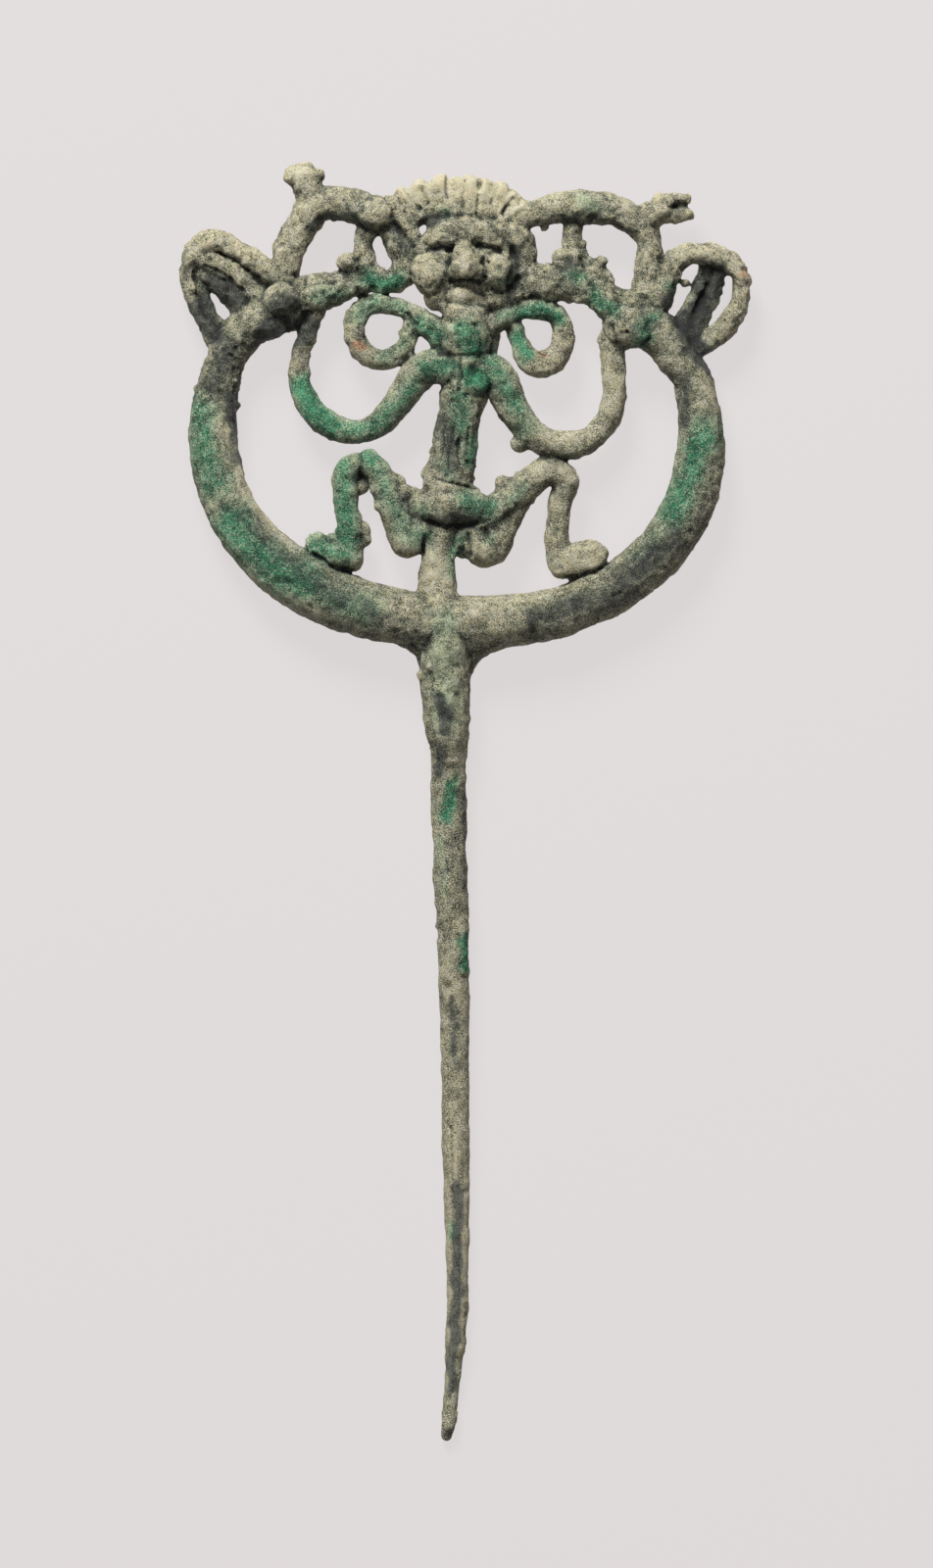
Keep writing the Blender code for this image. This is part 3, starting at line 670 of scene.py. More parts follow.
# Creases in the front: half width, depth, route of (x, y) places.
CUTS = (
    # between the locks of the fan
    (0.65, 0.5, ((-5.6, 32.6), (-7.6, 35.2))),
    (1.0, 0.6, ((-4.6, 33.6), (-5.2, 35.4))),
    (0.6, 0.55, ((-1.4, 34.2), (-1.4, 37.2))),
    (0.5, 0.45, ((0.8, 33.6), (0.9, 36.8))),
    (0.45, 0.45, ((2.8, 32.0), (3.3, 36.8))),
    (0.5, 0.3, ((5.0, 33.4), (5.9, 36.0))),
    (0.6, 0.55, ((6.6, 32.0), (8.2, 34.2))),
    (0.55, 0.3, ((7.4, 30.8), (10.0, 32.6))),
    # along the edge between fan and brow band
    (0.7, 0.4, ((-6.2, 29.8), (-4.4, 31.2), (-1.4, 31.8))),
    (0.5, 0.2, ((-1.4, 31.8), (2.0, 31.6))),
    # under the brow band, over each eye
    (0.9, 0.5, ((-4.4, 26.4), (-2.6, 27.0), (-0.9, 26.8))),
    (0.7, 0.35, ((3.2, 27.1), (5.2, 27.0), (7.0, 26.0))),
    # around the cheeks, nose and lips
    (0.7, 0.3, ((-1.3, 25.2), (-1.7, 22.6))),
    (0.5, 0.35, ((3.9, 25.2), (4.0, 22.4))),
    (0.5, 0.55, ((4.6, 24.7),)),
    (0.6, 0.35, ((-1.0, 21.9), (1.2, 21.9), (3.2, 21.6))),
    (0.55, 0.3, ((-1.6, 18.9), (1.0, 18.4), (3.4, 18.3))),
    (0.6, 0.25, ((-1.8, 16.4), (0.6, 15.6), (2.8, 15.5))),
    (0.6, 0.45, ((8.2, 27.0), (8.5, 24.0), (7.7, 21.2))),
    # along the muzzle, and around the boss
    (0.5, 0.22, ((-22.8, 21.0), (-20.0, 21.7), (-17.4, 22.0))),
    (0.5, 0.3, ((-22.4, 22.4), (-22.6, 20.4), (-22.2, 18.4))),
    # between the horn strands
    (0.5, 0.3, ((-29.4, 22.7), (-32.8, 25.0), (-35.6, 26.4))),
    (0.5, 0.3, ((-31.6, 20.6), (-34.4, 22.9), (-37.4, 24.4))),
    (0.5, 0.4, ((-38.8, 23.4), (-38.5, 20.4), (-37.0, 16.6))),
    # where arm, shoulder and chest meet
    (0.6, 0.4, ((0.4, 10.2), (0.5, 7.8), (0.2, 6.0))),
    (0.7, 0.35, ((-2.8, 11.2), (0.4, 10.8), (3.6, 11.0))),
    (0.45, 0.2, ((1.2, 5.1), (3.8, 4.9))),
    # rough cracks down the waist, and the ledge under it
    (0.4, 0.3, ((-2.2, -0.4), (-2.0, -2.2), (-2.4, -4.4))),
    (0.35, 0.3, ((-0.6, 0.4), (-0.8, -1.6))),
    (0.4, 0.35, ((0.3, -1.4), (0.0, -3.6), (0.4, -5.0))),
    (0.35, 0.25, ((1.6, 0.2), (1.7, -2.0))),
    (0.4, 0.25, ((-1.2, -3.4), (-1.4, -5.8))),
    (0.45, 0.4, ((-3.2, -7.2), (-0.6, -8.0), (2.6, -8.6))),
    # under the belt, and beside the haunches
    (0.6, 0.4, ((-5.0, -13.5), (-1.6, -14.3), (1.6, -14.2), (4.4, -13.4))),
    (0.55, 0.4, ((-4.8, -15.6), (-5.1, -18.0))),
    (0.55, 0.4, ((1.5, -15.4), (1.9, -18.6))),
    # knee, and soles on the ring
    (0.5, 0.4, ((-14.6, -2.9), (-14.2, -5.2), (-14.3, -6.6))),
    (0.5, 0.4, ((-21.4, -18.2), (-18.4, -20.2), (-15.4, -21.0))),
    (0.5, 0.4, ((14.6, -22.2), (18.2, -21.4), (21.4, -20.2))),
    # pits and folds low on the collar
    (1.0, 0.35, ((-2.6, -39.2), (-2.0, -42.0))),
    (0.7, 0.3, ((-1.2, -42.6), (0.4, -43.4))),
    (0.5, 0.25, ((-4.2, -42.2), (-3.4, -45.0))),
    # the open jaws, and pits in the right head and curl
    (0.6, 0.3, ((31.4, 33.0), (34.2, 33.1))),
    (0.5, 0.45, ((25.0, 14.4),)),
    (0.5, 0.3, ((22.8, 15.4), (23.6, 13.1), (25.8, 12.2), (28.2, 13.4))),
    (0.5, 0.4, ((36.9, 21.6), (35.2, 17.6))),
    (0.4, 0.35, ((12.0, 11.5), (13.0, 11.3))),
    (0.5, 0.45, ((15.1, -0.9),)),
    (0.5, 0.35, ((-7.4, 17.2), (-6.2, 15.6))),
    # long scratches down the shank
    (0.35, 0.22, ((-0.9, -103.0), (-0.7, -111.0))),
    (0.4, 0.25, ((0.3, -119.0), (0.2, -131.0), (-0.4, -141.0))),
    (0.35, 0.2, ((-0.8, -112.0), (-0.6, -126.0))),
)


# Creases start at this height above the back, and reach full depth over this climb.
CUT_HEIGHT = 2.5
CUT_CLIMB = 1.2


def carve(co, facing):
    """The skin's places once every crease is cut into its front."""
    front = np.clip((co[:, 2] - CUT_HEIGHT) / CUT_CLIMB, 0.0, 1.0)
    for half_width, depth, route in CUTS:
        co = co - facing * (depth * front * beside(co, route, half_width))[:, None]
    return co


# Lumps: height, size and a seed. Waves are the modeller's, and sand is the corrosion crust.
WAVES = ((0.18, 5.2, 1), (0.18, 2.3, 2))
SAND = ((0.2, 1.25, 3), (0.13, 0.7, 4), (0.05, 0.4, 5))
# Pits: depth, size of the cells they are scattered in, a seed, and the share of cells with one.
PITS = ((0.32, 1.9, 11, 0.25), (0.2, 0.95, 21, 0.45))
# How much the waves fade along the calm shank.
SHANK_CALM = 0.7


def raise_crust(co, facing):
    """The skin's places once its waves, its sandy crust and the crust's pits are raised."""
    waves = sum(height * noise(co, size, seed) for height, size, seed in WAVES)
    sand = sum(height * noise(co, size, seed) for height, size, seed in SAND)
    holes = sum(depth * pits(co, size, seed, share) for depth, size, seed, share in PITS)
    waves = waves * (1.0 - SHANK_CALM * level_with(co, *CALM_SHANK))
    return co + facing * (waves + crust_strength(co) * (sand - holes))[:, None]


def lay_flat(co):
    """The skin's places once all that reached past the back plane is ground away."""
    return np.column_stack((co[:, 0], co[:, 1], np.maximum(co[:, 2], 0.0)))


def thin_out(mesh):
    """Collapses edges where the skin is calm, to the triangle limit."""
    mesh.calc_loop_triangles()
    model = bpy.data.objects.new("skin", mesh)
    bpy.context.scene.collection.objects.link(model)
    thin = model.modifiers.new("thin", "DECIMATE")
    thin.ratio = TRIANGLES / len(mesh.loop_triangles)
    return apply_modifiers(model)


def hollows(mesh, co, facing, rounds, depth):
    """How far each vertex lies below its neighbourhood, where 1 is a hollow of this depth.

    More rounds of smoothing take in a wider neighbourhood."""
    ends = np.empty(len(mesh.edges) * 2, np.int32)
    mesh.edges.foreach_get("vertices", ends)
    a, b = ends[0::2], ends[1::2]
    count = np.bincount(a, minlength=len(co)) + np.bincount(b, minlength=len(co))
    calm = co.copy()
    for _ in range(rounds):
        for axis in range(3):
            total = np.bincount(a, calm[b, axis], len(co)) + np.bincount(b, calm[a, axis], len(co))
            calm[:, axis] = 0.5 * calm[:, axis] + 0.5 * total / count
    return np.einsum("ij,ij->i", calm - co, facing) / depth


# Stains, with a few painted shades and painted highlights among them: reach in millimetres,
# strength, route of (x, y) places.
MALACHITE = (
    (2.6, 1.0, ((-23.2, 6.4), (-21.2, 3.2), (-18.4, 0.4))),
    (2.4, 0.75, ((-17.0, -0.2), (-12.6, 0.2), (-9.4, 3.0), (-6.6, 6.4))),
    (2.6, 0.8, ((-5.0, 9.0), (-1.4, 9.2))),
    (2.6, 0.85, ((-5.2, 15.4), (-3.2, 13.6))),
    (2.0, 0.6, ((-14.9, 16.8), (-12.4, 18.9), (-8.4, 17.6))),
    (1.8, 0.5, ((-10.8, 10.4), (-7.4, 13.2))),
    (2.8, 0.9, ((1.6, 14.4), (2.6, 12.0))),
    (2.2, 1.1, ((1.8, 7.6), (3.4, 7.0))),
    (2.6, 0.75, ((5.0, 10.4), (6.6, 7.4), (8.6, 3.4))),
    (2.4, 0.55, ((8.6, 3.4), (10.4, 0.2))),
    (3.2, 0.7, ((0.6, 4.4), (0.4, 0.6))),
    (1.6, 0.7, ((2.2, -1.4), (2.0, -4.6))),
    (1.6, 0.5, ((-2.0, -5.4), (-1.0, -7.0))),
    (1.8, 0.9, ((9.6, 16.9), (12.4, 18.0), (15.0, 16.6))),
    (1.7, 0.95, ((9.2, 14.0), (10.2, 11.2))),
    (1.6, 0.6, ((6.6, 16.8), (8.0, 17.2))),
    (1.8, 0.95, ((-13.4, 22.8), (-11.0, 21.2), (-8.6, 21.9))),
    (1.8, 0.55, ((-20.4, 19.6), (-16.4, 20.4))),
    (1.6, 0.5, ((6.9, 22.0),)),
    (1.2, 0.6, ((-1.8, 31.8),)),
    (2.2, 0.85, ((20.4, 19.8), (22.4, 17.8))),
    (2.0, 0.75, ((28.6, 16.4), (27.4, 13.8))),
    (1.4, 0.7, ((16.2, 22.6), (18.6, 22.2))),
    (1.3, 0.7, ((31.2, 21.4), (33.0, 20.6))),
    (1.8, 0.45, ((18.6, 33.8), (21.0, 33.2))),
    (2.2, 0.8, ((-14.0, -3.0), (-12.8, -4.6))),
    (2.6, 0.8, ((-16.9, -5.6), (-16.6, -11.0), (-16.0, -16.6))),
    (2.2, 0.6, ((-11.6, -6.0), (-9.8, -11.0), (-8.2, -14.6))),
    (2.2, 0.6, ((-6.0, -15.4), (-4.6, -15.6))),
    (2.8, 0.75, ((-20.6, -17.2), (-16.6, -18.6))),
    (2.6, 0.75, ((1.4, -10.6), (4.2, -12.0))),
    (1.8, 0.6, ((-5.4, -11.6),)),
    (1.8, 0.5, ((8.0, -10.4), (9.6, -8.4))),
    (1.6, 0.6, ((0.4, -15.6), (-0.4, -18.4), (-0.2, -21.0))),
    (1.6, 0.55, ((4.6, -16.2),)),
    (3.4, 0.75, ((-38.4, 3.0), (-37.4, -3.0), (-36.0, -8.0))),
    (4.2, 0.85, ((-33.6, -13.6), (-30.4, -18.0), (-26.6, -21.0), (-22.4, -22.6))),
    (3.4, 0.6, ((-20.0, -24.4), (-13.6, -26.8))),
    (3.2, 0.4, ((-1.8, -28.0), (-1.8, -43.0))),
    (2.2, 0.5, ((39.0, 1.0), (38.8, -2.0))),
    (3.2, 0.85, ((36.4, -0.6), (34.8, -6.0), (31.8, -12.0))),
    (2.4, 0.4, ((29.0, -16.0), (27.0, -18.6))),
    (1.5, 0.95, ((-1.2, -52.6), (-1.7, -57.2))),
    (1.2, 0.35, ((-2.6, -61.0), (-2.4, -68.0))),
    (1.6, 0.95, ((1.2, -75.6), (1.0, -79.4))),
    (1.0, 0.85, ((-0.6, -117.6), (-0.4, -119.6))),
)
BLACK = (
    # dark patina and painted shade both, under the left boss
    (3.4, 1.0, ((-27.6, 13.8), (-23.0, 15.0))),
    (2.6, 0.75, ((-26.4, 18.0), (-24.8, 19.0))),
    (3.0, 0.6, ((-33.6, 12.0), (-36.0, 6.6))),
    (2.2, 0.5, ((-26.6, 19.4),)),
    (2.6, 0.8, ((-32.6, 19.4), (-36.0, 21.4), (-38.0, 17.6), (-35.6, 14.0))),
    (2.4, 1.15, ((37.8, 23.0), (36.4, 19.0), (34.4, 14.6))),
    (2.4, 0.8, ((31.4, 19.0), (35.0, 12.0), (38.6, 9.0))),
    (1.9, 0.55, ((16.8, 25.2), (16.0, 22.4))),
    (2.2, 0.5, ((25.6, 15.2),)),
    # painted shade along the underside of the left animal's arched body
    (1.2, 0.65, ((-22.4, 29.4), (-19.6, 31.4), (-16.4, 31.8), (-13.6, 30.2))),
    (1.3, 0.5, ((-23.6, 9.6), (-22.8, 14.6))),
    (1.3, 0.5, ((14.2, 31.2), (21.6, 31.0), (25.6, 29.6))),
    (2.0, 0.5, ((-9.6, 30.0), (-7.4, 26.4))),
    (2.0, 0.6, ((-4.8, 30.8), (-2.2, 31.2))),
    (1.6, 0.6, ((-2.6, 26.6),)),
    (1.6, 0.6, ((8.6, 26.8), (8.2, 22.0), (7.8, 19.6))),
    (2.4, 0.6, ((-2.6, 0.6), (-1.4, -2.0), (-0.6, -5.4))),
    (1.6, 0.5, ((-20.8, -1.0), (-15.4, -2.6), (-9.8, -0.4))),
    (1.8, 0.5, ((9.0, -3.2), (15.4, -4.8), (21.4, -2.6))),
    (2.0, 0.6, ((-4.0, -13.6), (-1.0, -12.6), (2.0, -13.8))),
    (3.0, 0.5, ((-31.4, -12.6), (-21.6, -22.4), (-10.4, -28.0))),
    (3.4, 0.6, ((11.0, -28.0), (22.0, -24.6), (32.6, -15.6))),
    (2.6, 0.8, ((-31.8, -4.0), (-32.8, 4.0))),
    (2.2, 0.6, ((33.4, 7.6), (33.8, 1.0))),
    (1.4, 0.95, ((-2.2, -39.4), (-1.8, -44.6))),
    (1.2, 0.7, ((-2.8, -47.4), (-2.4, -50.6))),
    (2.2, 0.5, ((1.6, -54.0), (1.4, -66.0))),
    (1.4, 0.6, ((-1.0, -84.0), (0.4, -94.0))),
    (1.2, 0.9, ((0.2, -112.0), (-0.2, -131.0), (-0.9, -142.0))),
    (1.6, 0.6, ((-1.4, -148.6),)),
    (1.6, 0.45, ((-16.2, 33.0), (-14.0, 30.4))),
)
OCHRE_AND_HIGHLIGHT = (
    (3.2, 0.9, ((-37.0, 28.0), (-33.0, 28.0), (-28.4, 24.8))),
    (2.6, 0.5, ((-30.8, 17.6), (-28.4, 20.6))),
    (3.0, 0.6, ((-25.4, 26.0), (-22.0, 33.0), (-17.4, 34.6))),
    (3.0, 0.7, ((-22.6, 37.8),)),
    (3.8, 2.2, ((-6.4, 35.4), (-2.4, 36.8), (2.0, 36.2), (7.6, 34.0))),
    (3.0, 0.55, ((-8.0, 34.2), (-9.4, 31.8))),
    (2.8, 0.8, ((-4.4, 23.6), (-3.4, 25.2))),
    (2.8, 0.7, ((1.0, 25.4), (6.4, 25.4))),
    (1.8, 0.6, ((-1.0, 20.6), (3.4, 20.4))),
    (2.4, 0.5, ((-2.0, 19.4), (-1.0, 17.6))),
    (2.6, 0.55, ((12.0, 33.6), (24.6, 33.6))),
    (2.4, 0.75, ((29.4, 34.2), (29.6, 32.0))),
    (2.4, 0.5, ((28.6, 28.6), (28.4, 21.0))),
    (3.0, 0.8, ((33.6, 26.6), (38.6, 27.0), (42.0, 23.6), (42.6, 19.6))),
    (2.4, 0.45, ((15.6, 13.4), (12.8, 9.6))),
    (2.4, 0.65, ((12.4, 0.2), (15.4, -0.8), (18.8, -0.4))),
    (2.2, 0.5, ((23.4, 4.0), (23.4, 12.0))),
    (1.5, 0.6, ((-17.2, 2.2), (-14.2, 1.4))),
    (3.2, 1.15, ((-3.0, -19.8), (-2.8, -26.0))),
    # ochre dust and painted highlight along the ring's upward-facing inner edge, here and in the next
    # entry
    (3.0, 0.85, ((-4.6, -26.6), (4.4, -26.2))),
    (2.2, 0.6, ((7.4, -25.4), (15.0, -23.6))),
    (3.0, 0.8, ((-1.6, -29.0), (-1.8, -43.0))),
    # ochre dust and painted highlight along the ring's inner edge, here and in the two entries after
    (2.0, 0.7, ((-14.6, -24.8), (-7.0, -26.8))),
    (1.7, 1.3, ((-34.0, 0.0), (-31.0, -9.0), (-24.4, -17.6))),
    (1.6, 1.0, ((-36.4, -12.0), (-30.0, -21.4), (-20.0, -27.4))),
    (3.0, 0.8, ((16.4, -20.0), (20.4, -18.6))),
    (2.4, 0.5, ((11.4, -6.2), (15.4, -6.6))),
    (2.0, 0.5, ((-4.0, -8.2), (3.0, -8.6))),
    (2.0, 0.4, ((38.6, 8.4), (39.4, 3.4))),
    (2.4, 0.4, ((33.4, 11.0), (37.0, 5.6))),
    (2.6, 0.4, ((-0.4, -74.0), (-0.2, -96.0))),
    (2.4, 0.5, ((0.2, -96.0), (0.2, -112.0))),
    (2.4, 1.2, ((0.2, -112.0), (-0.4, -142.0))),
    (1.0, 1.6, ((-0.6, -104.0), (-0.4, -110.0))),
    (1.0, 1.5, ((0.9, -113.0), (0.8, -126.0))),
    (0.9, 1.6, ((-1.0, -133.0), (-1.6, -142.0))),
)
RUST = (
    (1.3, 1.0, ((-14.8, 13.2), (-13.8, 12.4))),
    (1.1, 0.7, ((-22.8, 11.4),)),
    (1.1, 0.9, ((42.2, 23.2),)),
    (0.9, 0.8, ((42.8, 20.2),)),
    (1.0, 0.8, ((12.2, 11.4), (13.2, 11.2))),
    (1.6, 0.6, ((29.6, 34.0),)),
    (1.6, 0.55, ((-2.6, 37.0), (-1.0, 37.2))),
    (1.2, 0.45, ((-19.4, 20.6),)),
    (0.9, 0.5, ((2.8, -3.4),)),
    (1.0, 0.5, ((-12.2, -6.4),)),
    (2.4, 0.55, ((-0.8, -79.6), (-1.0, -84.0))),
    (2.2, 0.4, ((0.4, -86.0), (0.2, -92.0))),
    (1.4, 0.4, ((23.4, 9.4), (22.8, 11.2))),
    (1.0, 0.5, ((-39.8, 24.6),)),
)


# How far a stain runs past its own reach, and how far and how finely its edge is broken up.
STAIN_SPREAD = 1.45
EDGE_SHIFT = 0.7
EDGE_SIZE = 2.2
# The front's stains give way to the back's scattered ones over this climb from this height.
BACK_HEIGHT = 0.6
BACK_CLIMB = 2.0
BACK_STAIN = 0.35
BACK_STAIN_SIZE = 6.0


def stain(co, patches, seed):
    """A soft field around the patches, its edge broken up by noise."""
    ragged = co.copy()
    for axis in (0, 1):
        ragged[:, axis] += EDGE_SHIFT * noise(co, EDGE_SIZE, seed + axis)
    field = np.zeros(len(co))
    for reach, strength, route in patches:
        field = np.maximum(field, strength * beside(ragged, route, reach * STAIN_SPREAD))
    front = np.clip((co[:, 2] - BACK_HEIGHT) / BACK_CLIMB, 0.0, 1.0)
    behind = BACK_STAIN + BACK_STAIN * noise(co, BACK_STAIN_SIZE, seed + 2)
    return field * front + (1.0 - front) * np.clip(behind, 0.0, 1.0)


def write_field(mesh, name, values):
    """Stores one number for each vertex, for the material to read."""
    layer = mesh.attributes.new(name, "FLOAT", "POINT")
    layer.data.foreach_set("value", values.astype(np.float32))


# Painted shade in hollows and painted highlight on rises, fine and broad:
# rounds of smoothing, and the depth that counts as 1.
FINE_SHADE_AND_HIGHLIGHT = (3, 0.07)
BROAD_SHADE_AND_HIGHLIGHT = (40, 0.5)
# Rust keeps to the front: it starts at this height and is full over this climb.
RUST_HEIGHT = 1.0
RUST_CLIMB = 2.0


def make_skin():
    """The whole skin in millimetres, with its fields."""
    for add in (
        add_ring,
        add_shank,
        add_left_beast,
        add_right_beast,
        add_left_perched_animal,
        add_right_perched_animal,
        add_neck_curls,
        add_arms,
        add_head,
        add_fan,
        add_trunk,
        add_legs,
        add_crumbs,
    ):
        add()
    mesh = fuse()
    put_places(mesh, carve(places(mesh), facings(mesh)))
    put_places(mesh, lay_flat(raise_crust(places(mesh), facings(mesh))))
    mesh = thin_out(mesh)
    co = places(mesh)
    facing = facings(mesh)
    # Painted shade in the skin's hollows and painted highlight on its rises, fine and broad.
    write_field(mesh, "fine_shade_and_highlight", hollows(mesh, co, facing, *FINE_SHADE_AND_HIGHLIGHT))
    write_field(mesh, "broad_shade_and_highlight", hollows(mesh, co, facing, *BROAD_SHADE_AND_HIGHLIGHT))
    write_field(mesh, "malachite", stain(co, MALACHITE, 31))
    write_field(mesh, "black", stain(co, BLACK, 41))
    write_field(mesh, "ochre_and_highlight", stain(co, OCHRE_AND_HIGHLIGHT, 51))
    front = np.clip((co[:, 2] - RUST_HEIGHT) / RUST_CLIMB, 0.0, 1.0)
    write_field(mesh, "rust", stain(co, RUST, 61) * front)
    return mesh


def set_in_frame(mesh):
    """Scales the skin to metres and puts its box where the CAD solid's box is."""
    low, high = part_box(NODE)
    co = places(mesh) * MM
    middle = (co.min(0) + co.max(0)) / 2.0
    shift = (np.array(low) + np.array(high)) / 2.0 - middle
    shift[2] = low.z - co[:, 2].min()
    put_places(mesh, co + shift)


def srgb(red, green, blue):
    """A colour given in 0 to 255 screen values, as linear light with alpha."""
    shares = [value / 255.0 for value in (red, green, blue)]
    return (*(s / 12.92 if s <= 0.04045 else ((s + 0.055) / 1.055) ** 2.4 for s in shares), 1.0)


class Nodes:
    """A new material, and short calls for building its node tree."""

    def __init__(self, name):
        self.material = bpy.data.materials.new(name)
        self.material.use_nodes = True
        self.tree = self.material.node_tree
        self.shader = self.tree.nodes["Principled BSDF"]

    def feed(self, node, inputs):
        """Puts a plain value, or a link from another node's output, on each named input."""
        for key, value in inputs.items():
            if isinstance(value, bpy.types.NodeSocket):
                self.tree.links.new(value, node.inputs[key])
            else:
                node.inputs[key].default_value = value
        return node

    def add(self, kind, inputs, **settings):
        """A new node with these settings, its inputs fed."""
        node = self.tree.nodes.new(kind)
        for name, value in settings.items():
            setattr(node, name, value)
        return self.feed(node, inputs)

    def field(self, name):
        """One of the skin's own fields."""
        return self.add("ShaderNodeAttribute", {}, attribute_name=name).outputs["Fac"]

    def math(self, operation, *values):
        return self.add("ShaderNodeMath", dict(enumerate(values)), operation=operation).outputs[0]

    def total(self, *terms):
        """Adds up (value, factor) pairs and plain numbers."""
        result = 0.0
        for term in terms:
            if isinstance(term, tuple):
                result = self.math("MULTIPLY_ADD", term[0], term[1], result)
            else:
                result = self.math("ADD", result, term)
        return result

    def step(self, value, start, end):
        """0 below start, 1 above end, smooth between."""
        inputs = {"Value": value, "From Min": start, "From Max": end}
        return self.add("ShaderNodeMapRange", inputs, interpolation_type="SMOOTHSTEP").outputs["Result"]

    def noise(self, coords, scale, detail, roughness):
        """Cloudy noise around 0.5; scale is in blobs for each unit of the coordinates."""
        inputs = {"Vector": coords, "Scale": scale, "Detail": detail, "Roughness": roughness}
        return self.add("ShaderNodeTexNoise", inputs).outputs["Fac"]

    def ramp(self, value, *stops):
        """A colour that runs through the stops, each a position and a 0 to 255 screen colour."""
        node = self.add("ShaderNodeValToRGB", {"Fac": value})
        elements = node.color_ramp.elements
        while len(elements) < len(stops):
            elements.new(0.5)
        for element, (position, *colour) in zip(elements, stops):
            element.position = position
            element.color = srgb(*colour)
        return node.outputs["Color"]

    def mix(self, share, first, second):
        """The first colour with this share of it replaced by the second."""
        inputs = {"Factor": share, 6: first, 7: second}
        return self.add("ShaderNodeMix", inputs, data_type="RGBA").outputs[2]


def patinated_bronze():
    """Sandy olive crust over black patina, with malachite, ochre earth and rust, and with painted shade
    and painted highlight.
    """
    n = Nodes("patinated_bronze")
    metres = n.add("ShaderNodeTexCoord", {}).outputs["Object"]
    scaled = n.add("ShaderNodeVectorMath", {0: metres, "Scale": 1.0 / MM}, operation="SCALE")
    mm = scaled.outputs["Vector"]

    clouds = n.noise(mm, 0.35, 3.0, 0.55)
    blotches = n.noise(mm, 1.1, 3.0, 0.6)
    sand = n.noise(mm, 4.0, 3.0, 0.7)
    dust = n.noise(mm, 8.0, 2.0, 0.6)
    fine_shade_and_highlight = n.field("fine_shade_and_highlight")
    broad_shade_and_highlight = n.field("broad_shade_and_highlight")
    malachite = n.field("malachite")
    black = n.field("black")
    ochre_and_highlight = n.field("ochre_and_highlight")
    rust = n.field("rust")

    # Light or dark of every layer: speckled by noise, painted shade in hollows and painted
    # highlight on rises, lighter on earth, darker on patina; those two fields also hold a few
    # painted highlights and painted shades.
    tone = n.total(
        (clouds, 0.8),
        (blotches, 0.45),
        (sand, 2.1),
        (dust, 2.0),
        (fine_shade_and_highlight, -0.13),
        (broad_shade_and_highlight, -0.28),
        (n.step(broad_shade_and_highlight, 0.3, 1.3), -0.4),
        (ochre_and_highlight, 0.3),
        (black, -0.26),
        -2.22,
    )
    # The crust is olive, slate grey in patches, and mossy around malachite.
    crust = n.ramp(
        tone, (0.0, 26, 28, 24), (0.2, 54, 58, 48), (0.4, 86, 91, 74), (0.6, 118, 120, 98),
        (0.8, 154, 149, 123), (1.0, 196, 187, 156),
    )
    mossy = n.ramp(
        tone, (0.0, 20, 32, 26), (0.4, 62, 91, 72), (0.7, 104, 136, 110), (1.0, 160, 182, 150),
    )
    slate = n.ramp(
        tone, (0.0, 26, 28, 29), (0.4, 88, 91, 87), (0.7, 134, 135, 127), (1.0, 196, 194, 180),
    )
    patches = n.noise(mm, 0.7, 2.0, 0.6)
    crust = n.mix(n.math("MULTIPLY", n.step(patches, 0.42, 0.62), 0.4), crust, slate)
    haze = n.step(n.total((malachite, 1.0), (clouds, 0.6)), 0.25, 1.1)
    crust = n.mix(n.math("MULTIPLY", haze, 0.75), crust, mossy)

    # Malachite breaks through in grains that close up where its field is strong.
    grains = n.noise(mm, 3.0, 3.0, 0.65)
    green_share = n.step(n.total((malachite, 0.6), (grains, 1.4), (blotches, 0.4)), 1.22, 1.44)
    green = n.ramp(tone, (0.0, 8, 32, 24), (0.4, 18, 76, 53), (0.7, 36, 108, 76), (1.0, 88, 152, 116))
    colour = n.mix(green_share, crust, green)

    # Black patina shows where the crust has gone, a little smoother than the rest.
    # The same mask lays painted shade under the left animal's arched body, and patina with painted shade
    # under the left boss.
    patina_and_shade_share = n.step(n.total((black, 0.95), (blotches, 0.8), (sand, 0.45)), 0.98, 1.28)
    patina = n.ramp(tone, (0.0, 17, 19, 19), (0.6, 50, 54, 52), (1.0, 100, 104, 98))
    colour = n.mix(n.math("MULTIPLY", patina_and_shade_share, 0.85), colour, patina)

    # Rust lies over everything in a few small spots.
    rust_share = n.step(n.total((rust, 0.8), (grains, 0.7)), 0.75, 1.1)
    brown = n.ramp(tone, (0.0, 70, 42, 28), (0.5, 132, 86, 58), (1.0, 190, 142, 108))
    colour = n.mix(n.math("MULTIPLY", rust_share, 0.75), colour, brown)

    roughness = n.math("SUBTRACT", 0.86, n.math("MULTIPLY", patina_and_shade_share, 0.3))
    coarse = n.add("ShaderNodeBump", {"Strength": 0.9, "Distance": 0.3 * MM, "Height": sand})
    fine = n.add("ShaderNodeBump", {"Strength": 0.8, "Distance": 0.12 * MM, "Height": dust})
    n.feed(fine, {"Normal": coarse.outputs["Normal"]})
    finish = {"Base Color": colour, "Roughness": roughness, "Specular IOR Level": 0.4}
    n.feed(n.shader, {**finish, "Normal": fine.outputs["Normal"]})
    return n.material


def add_pin():
    """The skin as one piece, in place of the CAD solid."""
    mesh = make_skin()
    set_in_frame(mesh)
    mesh.name = "pin_skin"
    mesh.materials.clear()
    mesh.materials.append(patinated_bronze())
    mesh.shade_smooth()
    pin = bpy.data.objects.new("pin_skin", mesh)
    bpy.context.scene.collection.objects.link(pin)
    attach(pin, "root")
    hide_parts(NODE)


PAPER = srgb(228, 223, 223)
PAPER_BASE = (0.05, 0.049, 0.049, 1.0)
PAPER_GLOW = 0.88
WORLD_GLOW = 0.18
FLOOR_SIZE = 8.0
# The floor lies this far under the pin, so that the two never share a plane.
FLOOR_GAP = 0.0001


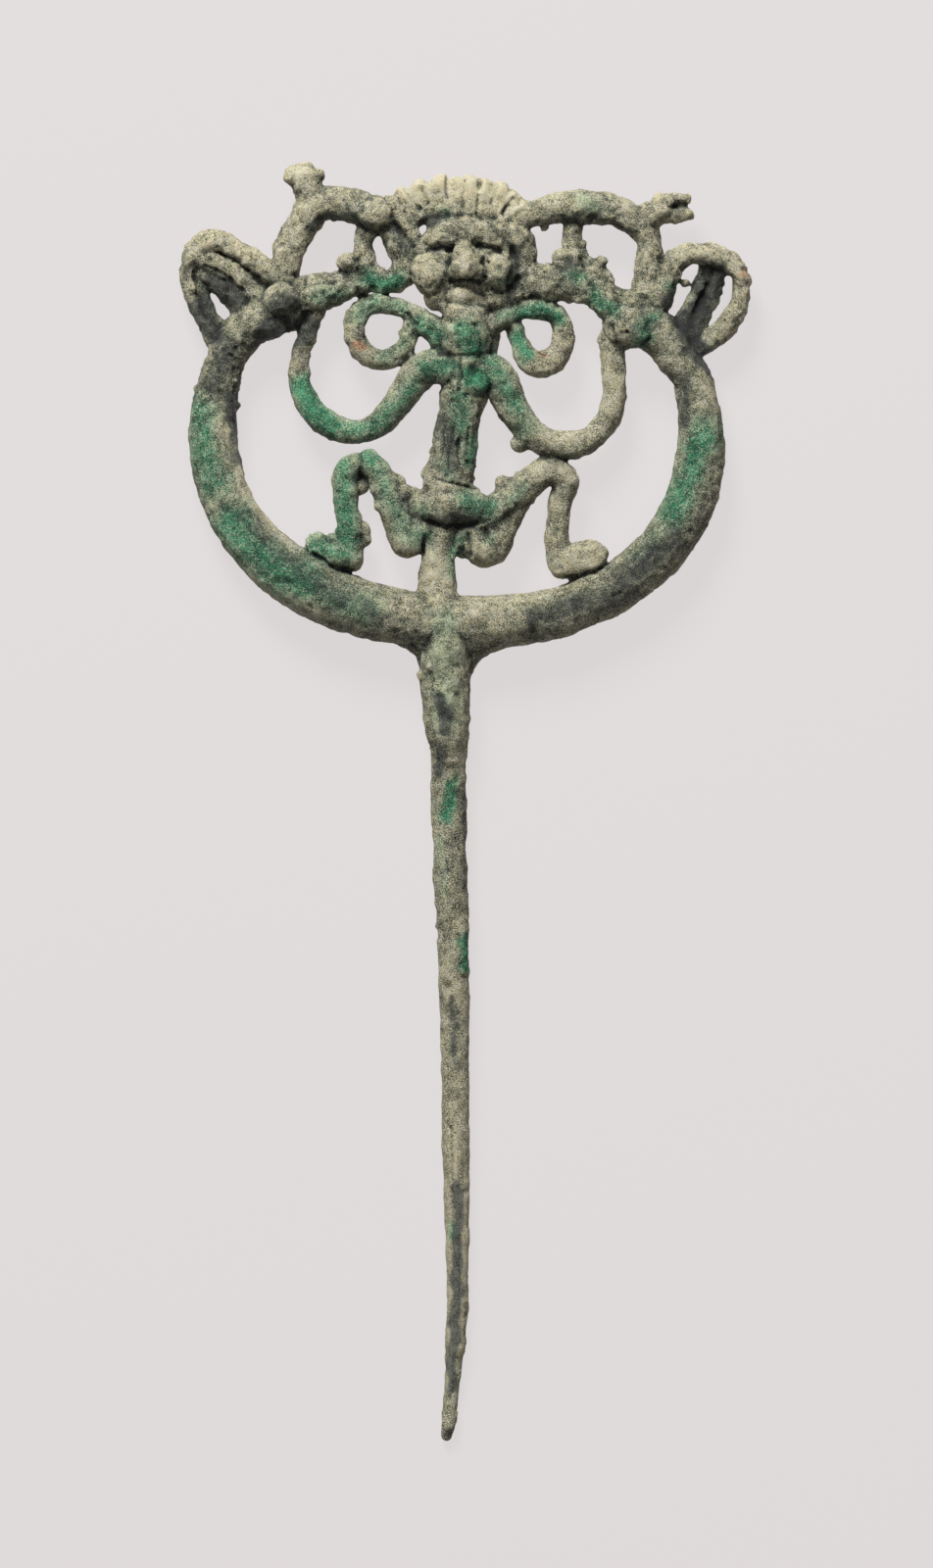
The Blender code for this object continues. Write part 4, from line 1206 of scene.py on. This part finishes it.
def add_floor():
    """A pale sheet that glows by itself, so that shadows on it stay faint."""
    n = Nodes("pale_paper")
    n.feed(n.shader, {"Base Color": PAPER_BASE, "Roughness": 1.0, "Specular IOR Level": 0.0})
    n.feed(n.shader, {"Emission Color": PAPER, "Emission Strength": PAPER_GLOW})
    bpy.ops.mesh.primitive_plane_add(size=FLOOR_SIZE, location=(0.0, 0.0, CAD_BOX[0].z - FLOOR_GAP))
    floor = bpy.context.object
    floor.name = "floor"
    floor.data.materials.append(n.material)


def add_lamp(name, place, aim, size, power, colour=(1.0, 1.0, 1.0)):
    """A soft square lamp turned to the point it lights."""
    data = bpy.data.lights.new(name, "AREA")
    data.shape = "SQUARE"
    data.size = size
    data.energy = power
    data.color = colour
    lamp = bpy.data.objects.new(name, data)
    lamp.location = place
    lamp.rotation_euler = (Vector(aim) - Vector(place)).to_track_quat("-Z", "Y").to_euler()
    bpy.context.scene.collection.objects.link(lamp)


def add_lights():
    """A small lamp low beyond the head, a broad weak one overhead, and a faint pale world."""
    add_lamp("key", (-0.2, 0.7, 0.5), (0.0, 0.03, 0.0), 0.3, 15.5, (1.0, 0.99, 0.965))
    add_lamp("fill", (0.1, -0.1, 1.1), (0.0, 0.0, 0.0), 0.7, 2.4)
    world = bpy.data.worlds.new("studio")
    bpy.context.scene.world = world
    world.use_nodes = True
    nodes = world.node_tree.nodes
    background = nodes.get("Background") or nodes.new("ShaderNodeBackground")
    background.inputs["Color"].default_value = PAPER
    background.inputs["Strength"].default_value = WORLD_GLOW


# In metres: the camera over the floor, the height of the view at the pin's middle depth,
# and the place in X and Y that the view is centred on.
CAMERA_HEIGHT = 1.25
FOCUS_HEIGHT = 0.004
VIEW_HEIGHT = 0.232
VIEW_MIDDLE = (0.00015, 0.00272)


def add_camera():
    """Looks straight down on the lying pin."""
    data = bpy.data.cameras.new("camera")
    data.sensor_fit = "VERTICAL"
    data.lens = data.sensor_height * (CAMERA_HEIGHT - FOCUS_HEIGHT) / VIEW_HEIGHT
    camera = bpy.data.objects.new("camera", data)
    camera.location = (*VIEW_MIDDLE, CAMERA_HEIGHT)
    bpy.context.scene.collection.objects.link(camera)
    bpy.context.scene.camera = camera


add_camera()
add_pin()
add_floor()
add_lights()
bpy.context.scene.view_settings.view_transform = "Standard"
